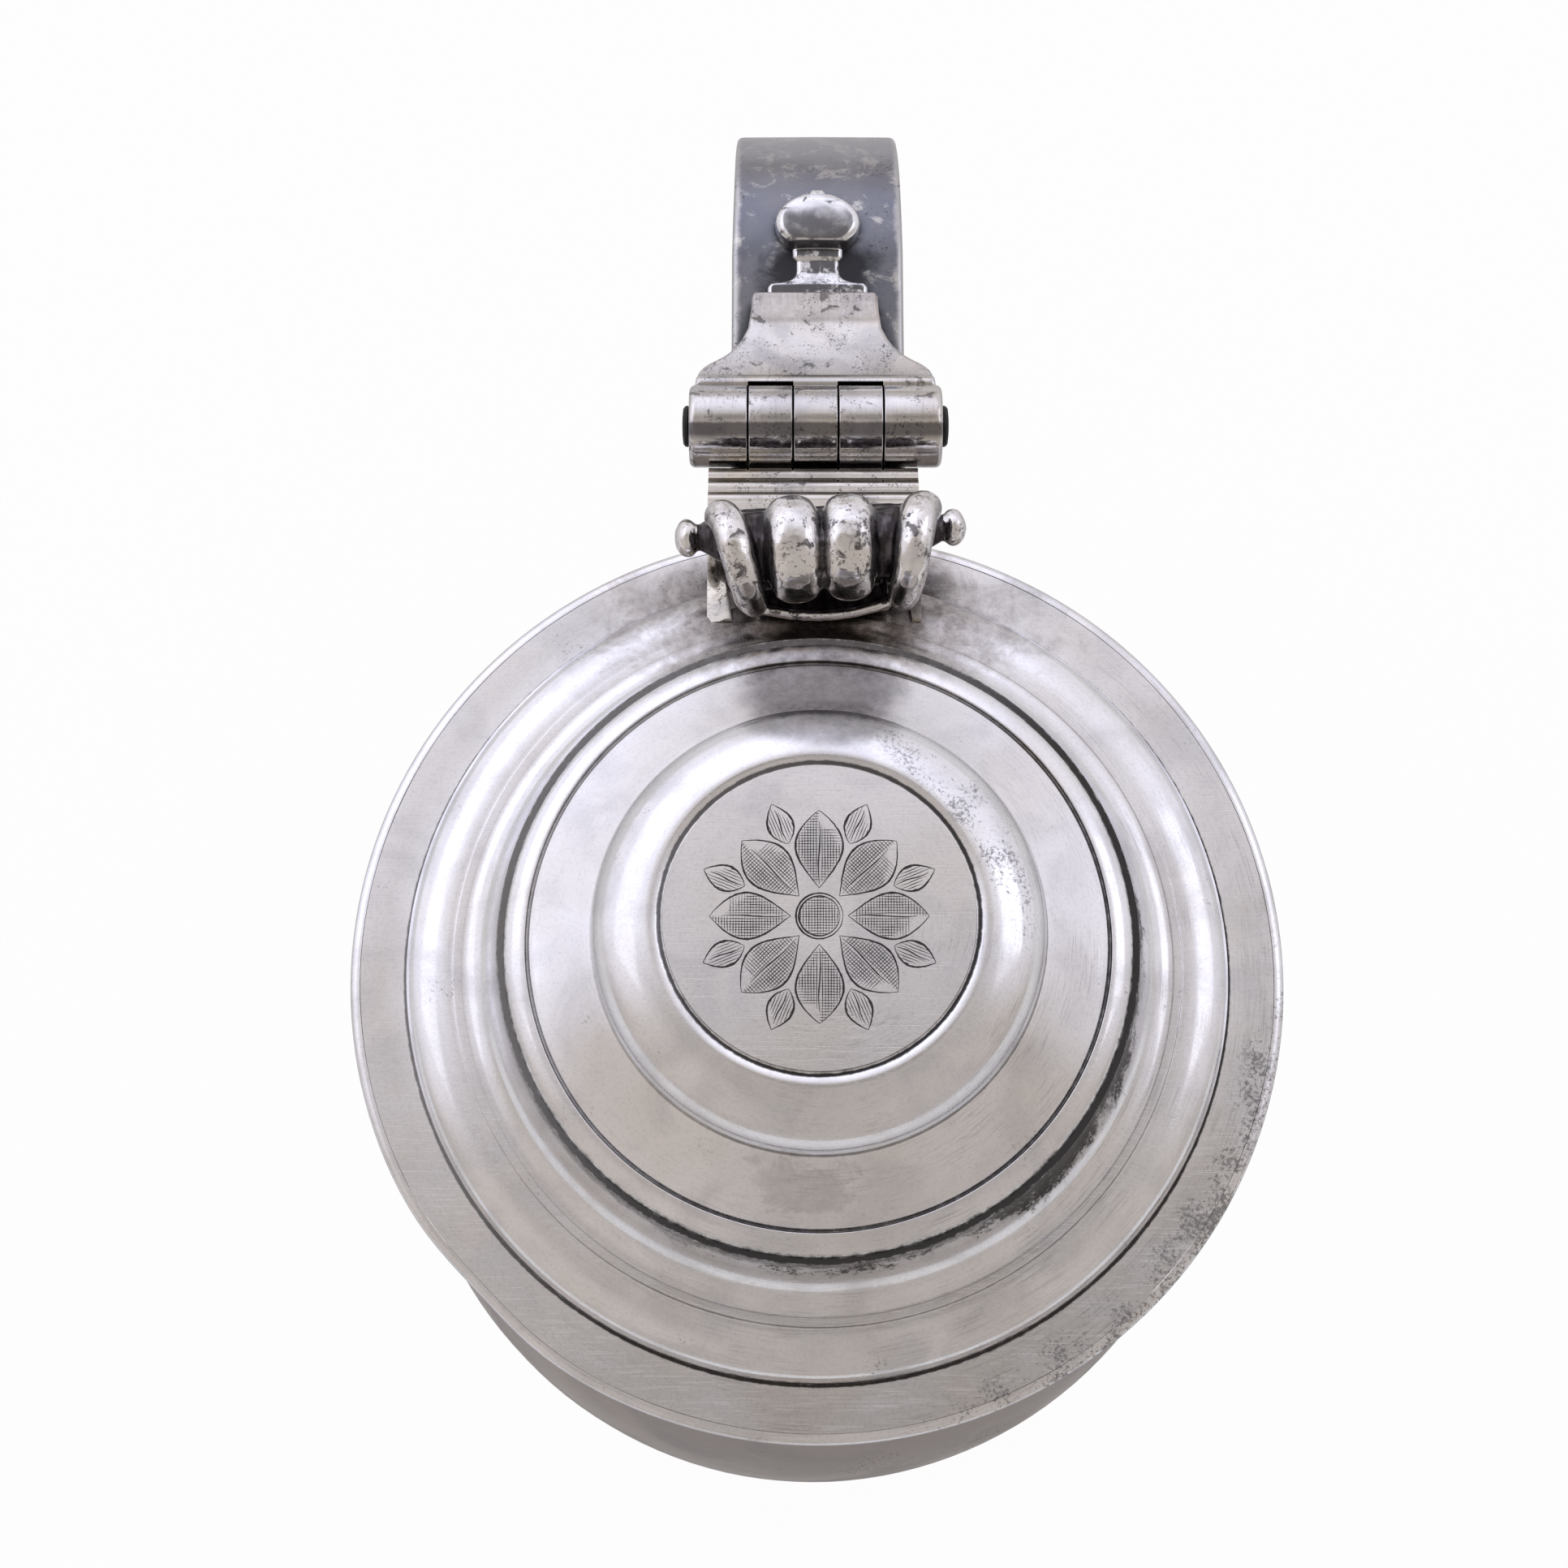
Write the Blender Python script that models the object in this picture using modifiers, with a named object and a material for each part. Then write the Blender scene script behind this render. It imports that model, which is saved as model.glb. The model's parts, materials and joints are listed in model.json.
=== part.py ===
"""Lidded silver tankard: bellied body on a spreading foot, scroll handle and hinged domed lid.

Metres, +Z up. The origin is the centre of the bowl's flat underside, on the body's axis.
The handle stands behind at +Y and the lid's hinge runs along X.
"""
import bpy
import bmesh
from math import acos, cos, degrees, pi, radians, sin, sqrt
from mathutils import Vector

MM = 0.001

# Fits
GAP = 0.3 * MM                  # seat between soldered pieces
PIN_CLEARANCE = 0.08 * MM       # pin in its knuckles, radial
KNUCKLE_GAP = 0.3 * MM          # running gap between neighbouring knuckles
SLOT_CLEARANCE = 1.0 * MM       # leaf edge to a knuckle that turns past it
BEZEL_CLEARANCE = 0.9 * MM      # bezel to the inside of the mouth

# Body, heights from the bowl's underside, radii outside
BODY_HEIGHT = 126.0 * MM
MOUTH_RADIUS = 53.0 * MM
MOUTH_FLARE = 1.6 * MM          # mouth beyond the neck
NECK_DROP = 22.0 * MM           # lip to the neck's waist
BELLY_SWELL = 5.6 * MM          # belly beyond the neck
BELLY_HEIGHT = 62.0 * MM
BOWL_TURN = 27.0 * MM           # belly to the edge of the flat underside
BODY_WALL = 1.6 * MM
LIP_PROJECTION = 1.9 * MM
LIP_HEIGHT = 4.0 * MM

# Foot
FOOT_HEIGHT = 16.0 * MM
FOOT_SEAT = 5.0 * MM            # waist beyond the flat underside
FOOT_SPREAD = 13.0 * MM         # edge beyond the waist
FOOT_WALL = 2.0 * MM
FOOT_EDGE = 4.5 * MM            # height of the upright edge under the cove
FOOT_LEDGE = 2.4 * MM           # width of the ledge above that edge
FOOT_WIRE = 1.7 * MM

# Lid, widths from the flange's edge inwards and rises from its top face upwards
FLANGE_OVERHANG = 4.5 * MM      # edge beyond the mouth
FLANGE_THICKNESS = 1.6 * MM
FLANGE_WIDTH = 7.1 * MM
RIM_WIRE = 1.3 * MM
STEP_RISE = 0.9 * MM
OVOLO_WIDTH = 6.1 * MM
OVOLO_RISE = 3.8 * MM
FILLET_WIDTH = 1.1 * MM
FILLET_RISE = 0.5 * MM
COVE_WIDTH = 5.0 * MM
COVE_RISE = 8.6 * MM
COLLAR_INSET = 0.8 * MM
COLLAR_RISE = 1.4 * MM
COLLAR_LAND = 3.1 * MM
SLOPE_WIDTH = 7.7 * MM
SLOPE_RISE = 4.6 * MM
SLOPE_SAG = 0.5                 # dish of the slope, 0 for a straight cone
LINE_STEP = 0.5 * MM            # rise of the small steps on the dome
DOME_WIDTH = 8.4 * MM
DOME_RISE = 7.2 * MM
LID_WALL = 1.4 * MM
BEZEL_WALL = 1.2 * MM
BEZEL_DEPTH = 5.0 * MM

# Hinge
HINGE_OVERHANG = 14.0 * MM      # hinge axis beyond the flange's edge
HINGE_RISE = 1.5 * MM           # hinge axis above the flange
BARREL_RADIUS = 5.3 * MM
OUTER_KNUCKLE = 7.4 * MM
INNER_KNUCKLE = 5.5 * MM
PIN_RADIUS = 2.2 * MM
PIN_CAP_MARGIN = 0.5 * MM
PIN_CAP_THICKNESS = 0.9 * MM
PLATE_INSET = 2.7 * MM          # plate's side from the barrel's end
PLATE_LAP = 0.7 * MM            # plate's front edge over the lid's fillet
REED_RADIUS = 1.25 * MM

# Thumbpiece, a ribbed scroll lying across the hinge plate
THUMB_SETBACK = 6.8 * MM        # scroll's middle behind the plate's front
SCROLL_LIFT = 0.4 * MM          # ribs above the plate
SCROLL_RADIUS = 7.0 * MM        # over the ribs
GROOVE_DEPTH = 2.2 * MM
RIB_WIDTH = 6.6 * MM
RIB_GROOVE = 0.9 * MM           # between the two middle ribs
HORN_GROOVE = 3.05 * MM         # between a middle rib and the horn beside it
HORN_WIDTH = 4.6 * MM
HORN_LEAN = 2.8 * MM            # horns draw in by this from the top of the scroll to its foot
BOSS_RADIUS = 2.2 * MM
BOSS_NECK = 40.0                # degrees below its middle where a boss meets its horn
THUMB_LIP = 7.6 * MM            # lip's front edge from the scroll's centre
THUMB_LIP_RISE = 1.9 * MM       # lip's middle above the plate
THUMB_LIP_THICKNESS = 1.1 * MM
THUMB_STEM = 12.0 * MM

# Handle, a flat strap closed by a rounded shell, drawn along its outer face
HANDLE_WIDTH = 23.0 * MM
HANDLE_DEPTH = 11.0 * MM
STRAP_THICKNESS = 1.8 * MM
SHELL_WALL = 1.5 * MM
SHELL_INSET = 1.0 * MM
HANDLE_DROP = 5.1 * MM          # below the lip, where the strap leaves the body
HANDLE_SLOPE = 4.0              # degrees
ARM_LENGTH = 27.0 * MM          # straight arm beyond the hinge axis
CROWN_RADIUS = 26.0 * MM
CROWN_TURN = 109.0
SWEEP_RADIUS = 50.0 * MM
SWEEP_TURN = 60.0
TAIL_RADIUS = 12.0 * MM
TAIL_TURN = 145.0
TAIL_LENGTH = 8.0 * MM
TAIL_TAPER = 0.7                # width of the tail against the top
ATTACH_DROP = 98.1 * MM         # below the lip, where the tail meets its pad
PAD_THICKNESS = 1.7 * MM
PAD_WIDTH = 11.0 * MM
PAD_HEIGHT = 14.0 * MM
TERMINAL_THICKNESS = 2.0 * MM
TERMINAL_MARGIN = 0.8 * MM
VENT_RADIUS = 1.0 * MM

# Hinge leaf and drop on the handle
LEAF_INSET = 0.5 * MM           # leaf's root from the barrel's end
LEAF_TIP_WIDTH = 16.8 * MM
LEAF_LENGTH = 15.2 * MM
LEAF_ROOT_RISE = 3.6 * MM       # above the flange, at the barrel
LEAF_TIP_THICKNESS = 2.4 * MM
LEAF_BEAD = 1.3 * MM
DROP_TIER_WIDTH = 13.2 * MM
DROP_NECK_WIDTH = 6.0 * MM
DROP_BALL_WIDTH = 11.2 * MM
DROP_BALL_LENGTH = 7.4 * MM
DROP_TIER_LENGTH = 3.2 * MM
DROP_NECK_LENGTH = 3.4 * MM
DROP_TIP_RADIUS = 1.2 * MM
DROP_FLATNESS = 0.55

# Fineness of round shapes
SEGMENTS = 40
ARC_STEPS = 5
BOWL_STEPS = 7
WIRE_STEPS = 4                  # even, so that a half-round wire has its widest point
BARREL_SEGMENTS = 24
SCROLL_SEGMENTS = 20
WELD = 0.001 * MM               # joins the seam of a spun or swept surface

# Places that follow from the sizes above
NECK_RADIUS = MOUTH_RADIUS - MOUTH_FLARE
NECK_HEIGHT = BODY_HEIGHT - NECK_DROP
BELLY_RADIUS = NECK_RADIUS + BELLY_SWELL
BASE_RADIUS = BELLY_RADIUS - BOWL_TURN
FOOT_WAIST_RADIUS = BASE_RADIUS + FOOT_SEAT
FOOT_RADIUS = FOOT_WAIST_RADIUS + FOOT_SPREAD
FLANGE_UNDER = BODY_HEIGHT + GAP
FLANGE_TOP = FLANGE_UNDER + FLANGE_THICKNESS
FLANGE_RADIUS = MOUTH_RADIUS + FLANGE_OVERHANG
STEP_RADIUS = FLANGE_RADIUS - FLANGE_WIDTH
FILLET_RADIUS = STEP_RADIUS - OVOLO_WIDTH
COVE_RADIUS = FILLET_RADIUS - FILLET_WIDTH - COVE_WIDTH
COLLAR_RADIUS = COVE_RADIUS - COLLAR_INSET
DOME_RADIUS = COLLAR_RADIUS - COLLAR_LAND - SLOPE_WIDTH
DISC_RADIUS = DOME_RADIUS - DOME_WIDTH
FILLET_HEIGHT = STEP_RISE + OVOLO_RISE
PLATE_HEIGHT = FILLET_HEIGHT + FILLET_RISE
COVE_HEIGHT = PLATE_HEIGHT + COVE_RISE
COLLAR_HEIGHT = COVE_HEIGHT + COLLAR_RISE
DOME_HEIGHT = COLLAR_HEIGHT + SLOPE_RISE
DISC_HEIGHT = DOME_HEIGHT + DOME_RISE
HINGE_REACH = FLANGE_RADIUS + HINGE_OVERHANG
HINGE = Vector((0.0, HINGE_REACH, FLANGE_TOP + HINGE_RISE))
BARREL_LENGTH = 2 * OUTER_KNUCKLE + 3 * INNER_KNUCKLE + 4 * KNUCKLE_GAP
PIN_CAP_RADIUS = PIN_RADIUS + PIN_CAP_MARGIN
PLATE_WIDTH = BARREL_LENGTH - 2 * PLATE_INSET
PLATE_FRONT = FILLET_RADIUS - PLATE_LAP
THUMB_REACH = PLATE_FRONT + THUMB_SETBACK
THUMB_RISE = PLATE_HEIGHT + SCROLL_LIFT + SCROLL_RADIUS
GROOVE_RADIUS = SCROLL_RADIUS - GROOVE_DEPTH
RIB_MIDDLE = (RIB_GROOVE + RIB_WIDTH) / 2
HORN_TOP = RIB_MIDDLE + RIB_WIDTH / 2 + HORN_GROOVE + HORN_WIDTH / 2
HORN_FOOT = HORN_TOP - HORN_LEAN
HORN_EDGE = HORN_TOP + HORN_WIDTH / 2
LEAF_ROOT_WIDTH = BARREL_LENGTH - 2 * LEAF_INSET
HANDLE_START = MOUTH_RADIUS - 3 * BODY_WALL
HANDLE_TOP = BODY_HEIGHT - HANDLE_DROP
ARM_REACH = HINGE_REACH + ARM_LENGTH
BRIGHT = (0.80, 0.79, 0.77)
WORN = (0.62, 0.61, 0.59)
DARK = (0.30, 0.30, 0.32)


def clear_scene():
    for item in list(bpy.data.objects):
        bpy.data.objects.remove(item, do_unlink=True)


def new_collection(name):
    group = bpy.data.collections.new(name)
    bpy.context.scene.collection.children.link(group)
    return group


def metal(name, colour, roughness):
    material = bpy.data.materials.new(name)
    material.use_nodes = True
    shader = material.node_tree.nodes["Principled BSDF"]
    shader.inputs["Base Color"].default_value = (*colour, 1.0)
    shader.inputs["Metallic"].default_value = 1.0
    shader.inputs["Roughness"].default_value = roughness
    return material


def add_object(name, data, parent=None, colour=BRIGHT, roughness=0.3):
    """Link a finished part, give it its metal and hang it on its parent's axis."""
    part = bpy.data.objects.new(name, data)
    parts.objects.link(part)
    data.materials.clear()
    data.materials.append(metal(name, colour, roughness))
    if parent:
        part.parent = parent
        part.location = -parent.location
    return part


def add_cutter(name, data):
    cutter = bpy.data.objects.new(name, data)
    cutters.objects.link(cutter)
    cutter.hide_render = True
    cutter.display_type = "WIRE"
    return cutter


def smooth(mesh, angle=40.0):
    mesh.shade_smooth()
    mesh.set_sharp_from_angle(angle=radians(angle))


def boolean(part, operation, other):
    step = part.modifiers.new(operation.lower(), "BOOLEAN")
    step.operation = operation
    step.object = other


def face_out(mesh, weld=0.0):
    """Point a closed mesh's faces outwards, after welding loose seams when a distance is given."""
    shape = bmesh.new()
    shape.from_mesh(mesh)
    if weld:
        bmesh.ops.remove_doubles(shape, verts=shape.verts, dist=weld)
    bmesh.ops.recalc_face_normals(shape, faces=shape.faces)
    shape.to_mesh(mesh)
    shape.free()
    return mesh


def bake(part, weld=0.0):
    """Turn a part's modifiers or curve into one mesh in world space."""
    bpy.context.view_layer.update()
    evaluated = part.evaluated_get(bpy.context.evaluated_depsgraph_get())
    mesh = bpy.data.meshes.new_from_object(evaluated)
    mesh.transform(part.matrix_world)
    bpy.data.objects.remove(part, do_unlink=True)
    return face_out(mesh, weld)


def arc(centre, radius_across, radius_up, start, end, steps=ARC_STEPS):
    """Points on an ellipse arc, angles in degrees from straight out."""
    points = []
    for step in range(steps + 1):
        angle = radians(start + (end - start) * step / steps)
        points.append((centre[0] + radius_across * cos(angle), centre[1] + radius_up * sin(angle)))
    return points


def oval(centre, radius_across, radius_up, count):
    """A closed ellipse of evenly spread corners."""
    return arc(centre, radius_across, radius_up, 0, 360 - 360 / count, count - 1)


def turned_mesh(name, profile, ring, segments=SEGMENTS):
    """Spin a profile of radius and height about Z; a ring closes its profile, a disc ends on the axis."""
    mesh = bpy.data.meshes.new(name)
    corners = [(radius, 0.0, height) for radius, height in profile]
    links = [(index, index + 1) for index in range(len(corners) - 1)]
    if ring:
        links.append((len(corners) - 1, 0))
    mesh.from_pydata(corners, links, [])
    blank = bpy.data.objects.new(name, mesh)
    bpy.context.scene.collection.objects.link(blank)
    screw = blank.modifiers.new("spin", "SCREW")
    screw.steps = segments
    screw.render_steps = segments
    screw.use_merge_vertices = True
    screw.merge_threshold = WELD
    spun = bake(blank, WELD)
    spun.name = name
    smooth(spun)
    return spun


def slab_mesh(name, outline, thickness, holes=()):
    """A flat outline, given as across and along, thickened evenly about its plane."""
    curve = bpy.data.curves.new(name, "CURVE")
    curve.dimensions = "2D"
    curve.fill_mode = "BOTH"
    curve.extrude = thickness / 2
    for loop in (outline, *holes):
        spline = curve.splines.new("POLY")
        spline.points.add(len(loop) - 1)
        for point, corner in zip(spline.points, loop):
            point.co = (corner[0], corner[1], 0.0, 1.0)
        spline.use_cyclic_u = True
    blank = bpy.data.objects.new(name, curve)
    bpy.context.scene.collection.objects.link(blank)
    slab = bake(blank, WELD)
    slab.name = name
    return slab


def side_slab_mesh(name, outline, width):
    """A side outline, given as reach and height, carried across X."""
    slab = slab_mesh(name, outline, width)
    for vertex in slab.vertices:
        reach, height, across = vertex.co
        vertex.co = (across, reach, height)
    return slab


def tube_mesh(name, radius, start, end, bore=0.0):
    """A round bar along X, bored through when a bore is given."""
    profile = [(radius, end), (radius, start)]
    profile += [(bore, start), (bore, end)] if bore else [(0.0, start)]
    if not bore:
        profile.insert(0, (0.0, end))
    bar = turned_mesh(name, profile, bool(bore), BARREL_SEGMENTS)
    for vertex in bar.vertices:
        across, reach, along = vertex.co
        vertex.co = (along, across, reach)
    return bar


def move(mesh, offset):
    for vertex in mesh.vertices:
        vertex.co += Vector(offset)
    return mesh


# Body


def bowl_line(offset):
    """Round of the bowl from the belly in to the flat underside."""
    centre = (BASE_RADIUS + offset, BELLY_HEIGHT)
    return arc(centre, BOWL_TURN, BELLY_HEIGHT + offset, 0, -90, BOWL_STEPS)


def bowl_height(radius):
    """Height of the bowl's outside below the belly, at a radius, along its facets."""
    line = bowl_line(0.0)
    for (outer, high), (inner, low) in zip(line, line[1:]):
        if radius >= inner:
            return low + (high - low) * (radius - inner) / (outer - inner)
    return 0.0


def body_radius(height):
    """Outside radius of the body: flared mouth, waisted neck, full belly, round bowl."""
    if height >= NECK_HEIGHT:
        share = (height - NECK_HEIGHT) / (BODY_HEIGHT - NECK_HEIGHT)
        return NECK_RADIUS + MOUTH_FLARE * share * share
    if height >= BELLY_HEIGHT:
        share = (height - BELLY_HEIGHT) / (NECK_HEIGHT - BELLY_HEIGHT)
        return NECK_RADIUS + BELLY_SWELL * (1.0 + cos(pi * share)) / 2
    share = (BELLY_HEIGHT - height) / BELLY_HEIGHT
    return BASE_RADIUS + BOWL_TURN * sqrt(1.0 - share * share)


def body_line(offset):
    """Body outline from lip to underside, moved out by an offset, or in by a negative one."""
    steps = 2 * ARC_STEPS - 2
    upper = [BODY_HEIGHT + (BELLY_HEIGHT - BODY_HEIGHT) * step / steps for step in range(steps)]
    line = [(body_radius(height) + offset, height) for height in upper]
    line += bowl_line(offset)
    return line


def make_body_wall():
    outside = body_line(0.0)
    inside = body_line(-BODY_WALL)
    profile = [(0.0, BODY_WALL)] + inside[::-1] + outside + [(0.0, 0.0)]
    add_object("body_wall", turned_mesh("body_wall", profile, False), colour=WORN, roughness=0.34)


def make_lip_moulding():
    """Half-round wire with a fillet, soldered round the outside of the mouth."""
    low = BODY_HEIGHT - LIP_HEIGHT
    fillet = LIP_HEIGHT / 4
    middle = (BODY_HEIGHT + low + fillet) / 2
    seat = MOUTH_RADIUS + GAP
    bead = arc((seat, middle), LIP_PROJECTION, (LIP_HEIGHT - fillet) / 2, 75, -75, WIRE_STEPS)
    seat_low = body_radius(low) + GAP
    edge = seat_low + fillet
    profile = [(seat, BODY_HEIGHT)] + bead + [(edge, low + fillet / 2), (edge, low), (seat_low, low)]
    add_object("lip_moulding", turned_mesh("lip_moulding", profile, True), roughness=0.28)


def make_foot():
    """Coved spreading foot, hollow underneath, standing on its upright edge."""
    floor = -FOOT_HEIGHT
    ledge = floor + FOOT_EDGE
    cove_foot = FOOT_RADIUS - FOOT_LEDGE
    seat = bowl_height(FOOT_WAIST_RADIUS) - GAP
    seat_inside = bowl_height(FOOT_WAIST_RADIUS - FOOT_WALL) - GAP
    across = cove_foot - FOOT_WAIST_RADIUS
    outside = arc((cove_foot, seat), across, seat - ledge, 180, 270)
    inside = [(radius - FOOT_WALL, height - FOOT_WALL) for radius, height in outside[1:]]
    profile = [(FOOT_WAIST_RADIUS - FOOT_WALL, seat_inside)] + outside
    profile += [(FOOT_RADIUS, ledge), (FOOT_RADIUS, floor), (FOOT_RADIUS - 2 * FOOT_WALL, floor)]
    profile += inside[::-1]
    add_object("foot", turned_mesh("foot", profile, True), colour=WORN, roughness=0.36)


def make_foot_wire():
    centre = (FOOT_RADIUS + GAP, GAP + FOOT_WIRE - FOOT_HEIGHT)
    profile = arc(centre, FOOT_WIRE, FOOT_WIRE, 90, -90, WIRE_STEPS)
    add_object("foot_wire", turned_mesh("foot_wire", profile, True), roughness=0.3)


# Lid


def lid_point(radius, height):
    return (radius, FLANGE_TOP + height)


def skirt_line():
    """Lid outside from the collar seat out to the foot of the moulding at the flange."""
    cove_start = FILLET_RADIUS - FILLET_WIDTH
    cove = arc(lid_point(cove_start, COVE_HEIGHT), COVE_WIDTH, COVE_RISE, 180, 270)
    ovolo = arc(lid_point(FILLET_RADIUS, STEP_RISE), OVOLO_WIDTH, OVOLO_RISE, 90, 0)
    return cove + [lid_point(FILLET_RADIUS, PLATE_HEIGHT)] + ovolo


def make_lid_skirt(lid):
    """Flange, ovolo and cove in one shell, its inside set in and down by the wall."""
    edge = FLANGE_RADIUS - RIM_WIRE - GAP
    outside = skirt_line()
    inside = [(radius - LID_WALL, height - LID_WALL) for radius, height in outside]
    inside[0] = (COVE_RADIUS - LID_WALL, FLANGE_TOP + COVE_HEIGHT)
    bottom = FLANGE_TOP - FLANGE_THICKNESS
    profile = outside + [lid_point(STEP_RADIUS, 0.0), lid_point(edge, 0.0), (edge, bottom)]
    profile += [(STEP_RADIUS - LID_WALL, bottom)] + inside[::-1]
    add_object("lid_skirt", turned_mesh("lid_skirt", profile, True), lid, roughness=0.32)


def make_lid_rim_wire(lid):
    centre = lid_point(FLANGE_RADIUS - RIM_WIRE, -FLANGE_THICKNESS / 2)
    profile = arc(centre, RIM_WIRE, FLANGE_THICKNESS / 2, 90, -90, WIRE_STEPS)
    add_object("lid_rim_wire", turned_mesh("lid_rim_wire", profile, True), lid, roughness=0.25)


def make_lid_dome(lid):
    """Collar, dished slope, domed shoulder and flat crown, raised as one cap on the skirt."""
    seat = COVE_HEIGHT + GAP
    slope_radius = COLLAR_RADIUS - COLLAR_LAND
    slope_top = DOME_HEIGHT - LINE_STEP
    slope_foot = COLLAR_HEIGHT + LINE_STEP / 2
    shoulder = arc(lid_point(DISC_RADIUS, DOME_HEIGHT), DOME_WIDTH, DOME_RISE, 90, 0)
    slope = []
    for step in range(ARC_STEPS + 1):
        share = step / ARC_STEPS
        dish = share + SLOPE_SAG * share * (1.0 - share)
        radius = DOME_RADIUS + (slope_radius - DOME_RADIUS) * share
        slope.append(lid_point(radius, slope_top + (slope_foot - slope_top) * dish))
    corner = lid_point(COLLAR_RADIUS - LINE_STEP, COLLAR_HEIGHT - LINE_STEP)
    collar = [lid_point(slope_radius, COLLAR_HEIGHT)] + arc(corner, LINE_STEP, LINE_STEP, 90, 0, 2)
    crown_top = FLANGE_TOP + DISC_HEIGHT
    inside = [(radius - LID_WALL, height - LID_WALL) for radius, height in shoulder + slope[:-1]]
    profile = [(0.0, crown_top)] + shoulder + slope + collar + [lid_point(COLLAR_RADIUS, seat)]
    profile += [lid_point(inside[-1][0], seat)] + inside[::-1] + [(0.0, crown_top - LID_WALL)]
    add_object("lid_dome", turned_mesh("lid_dome", profile, False), lid, roughness=0.3)


def make_lid_bezel(lid):
    """Ring under the flange that drops inside the mouth."""
    top = FLANGE_UNDER - GAP
    low = FLANGE_UNDER - BEZEL_DEPTH
    outer = body_radius(low) - BODY_WALL - BEZEL_CLEARANCE
    inner = outer - BEZEL_WALL
    profile = [(outer, top), (outer, low), (inner, low), (inner, top)]
    add_object("lid_bezel", turned_mesh("lid_bezel", profile, True), lid, colour=WORN, roughness=0.36)


# Hinge


def knuckle_spans():
    """Start and end along X of the five knuckles, left to right."""
    spans = []
    start = -BARREL_LENGTH / 2
    for length in (OUTER_KNUCKLE, INNER_KNUCKLE, INNER_KNUCKLE, INNER_KNUCKLE, OUTER_KNUCKLE):
        spans.append((start, start + length))
        start += length + KNUCKLE_GAP
    return spans


def make_knuckles(lid):
    """Odd knuckles stay with the handle, even ones turn with the lid."""
    names = ("handle_knuckle_left", "lid_knuckle_left", "handle_knuckle_centre",
             "lid_knuckle_right", "handle_knuckle_right")
    for index, (name, span) in enumerate(zip(names, knuckle_spans())):
        knuckle = tube_mesh(name, BARREL_RADIUS, *span, bore=PIN_RADIUS + PIN_CLEARANCE)
        add_object(name, move(knuckle, HINGE), lid if index % 2 else None, roughness=0.2)


def make_pin():
    half = BARREL_LENGTH / 2
    pin = tube_mesh("hinge_pin", PIN_RADIUS, -half, half)
    add_object("hinge_pin", move(pin, HINGE), colour=WORN, roughness=0.4)
    for side, name in ((-1, "pin_cap_left"), (1, "pin_cap_right")):
        start = half + GAP
        ends = sorted((side * start, side * (start + PIN_CAP_THICKNESS)))
        cap = tube_mesh(name, PIN_CAP_RADIUS, *ends)
        add_object(name, move(cap, HINGE), colour=DARK, roughness=0.5)


def barrel_cutters(label, parity):
    """Cutters for a leaf's edge: close to the knuckles it carries, clear of those that turn past it."""
    found = []
    for index, (start, end) in enumerate(knuckle_spans()):
        carried = index % 2 == parity
        radius = BARREL_RADIUS + (GAP if carried else SLOT_CLEARANCE)
        reach = KNUCKLE_GAP / 2
        if not carried:
            reach += KNUCKLE_GAP
        if index == 0:
            start -= BARREL_LENGTH
        if index == 4:
            end += BARREL_LENGTH
        mesh = tube_mesh(f"{label}_{index}", radius, start - reach, end + reach)
        found.append(add_cutter(f"{label}_{index}", move(mesh, HINGE)))
    return found


def lid_cutter():
    """The lid's outside grown by the seat gap, to fit what stands on it."""
    grown = [(radius + GAP, height + GAP) for radius, height in skirt_line()]
    edge = FLANGE_RADIUS + GAP
    profile = [(0.0, FLANGE_TOP + COVE_HEIGHT + GAP)] + grown
    profile += [(STEP_RADIUS + GAP, FLANGE_TOP + GAP), (edge, FLANGE_TOP + GAP), (edge, 0.0), (0.0, 0.0)]
    return add_cutter("lid_envelope", turned_mesh("lid_envelope", profile, False))


def make_hinge_plate(lid, lid_envelope):
    """Block on the flange with two reeds across it, cut to the lid's moulding and to the barrel."""
    back = HINGE_REACH
    top = FLANGE_TOP + PLATE_HEIGHT
    under = FLANGE_TOP - FLANGE_THICKNESS
    first = HINGE_REACH - BARREL_RADIUS - SLOT_CLEARANCE - REED_RADIUS
    reeds = []
    for index in range(2):
        middle = (first - 2 * index * REED_RADIUS, top - REED_RADIUS)
        reeds += arc(middle, REED_RADIUS, REED_RADIUS, 0, 180, 4)
    outline = [(back, under), (back, top - REED_RADIUS)] + reeds
    land = reeds[-1][0]
    outline += [(land, top - REED_RADIUS / 2), (PLATE_FRONT, top), (PLATE_FRONT, under)]
    plate = side_slab_mesh("hinge_plate", outline, PLATE_WIDTH)
    blank = add_cutter("hinge_plate_blank", plate)
    for cutter in [lid_envelope] + barrel_cutters("plate_cope", 1):
        boolean(blank, "DIFFERENCE", cutter)
    add_object("hinge_plate", bake(blank), lid, colour=WORN, roughness=0.3)


def scroll_profile():
    """Radius along the scroll, right to left: boss, horn, two ribs, horn, boss."""
    boss = HORN_EDGE + BOSS_RADIUS * sin(radians(BOSS_NECK))
    right = arc((0.0, boss), BOSS_RADIUS, BOSS_RADIUS, 90, -BOSS_NECK)
    for middle, half in ((HORN_TOP, HORN_WIDTH / 2), (RIB_MIDDLE, RIB_WIDTH / 2)):
        right += arc((GROOVE_RADIUS, middle), GROOVE_DEPTH, half, 90, -90)
    return right + [(radius, -along) for radius, along in reversed(right)]


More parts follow.
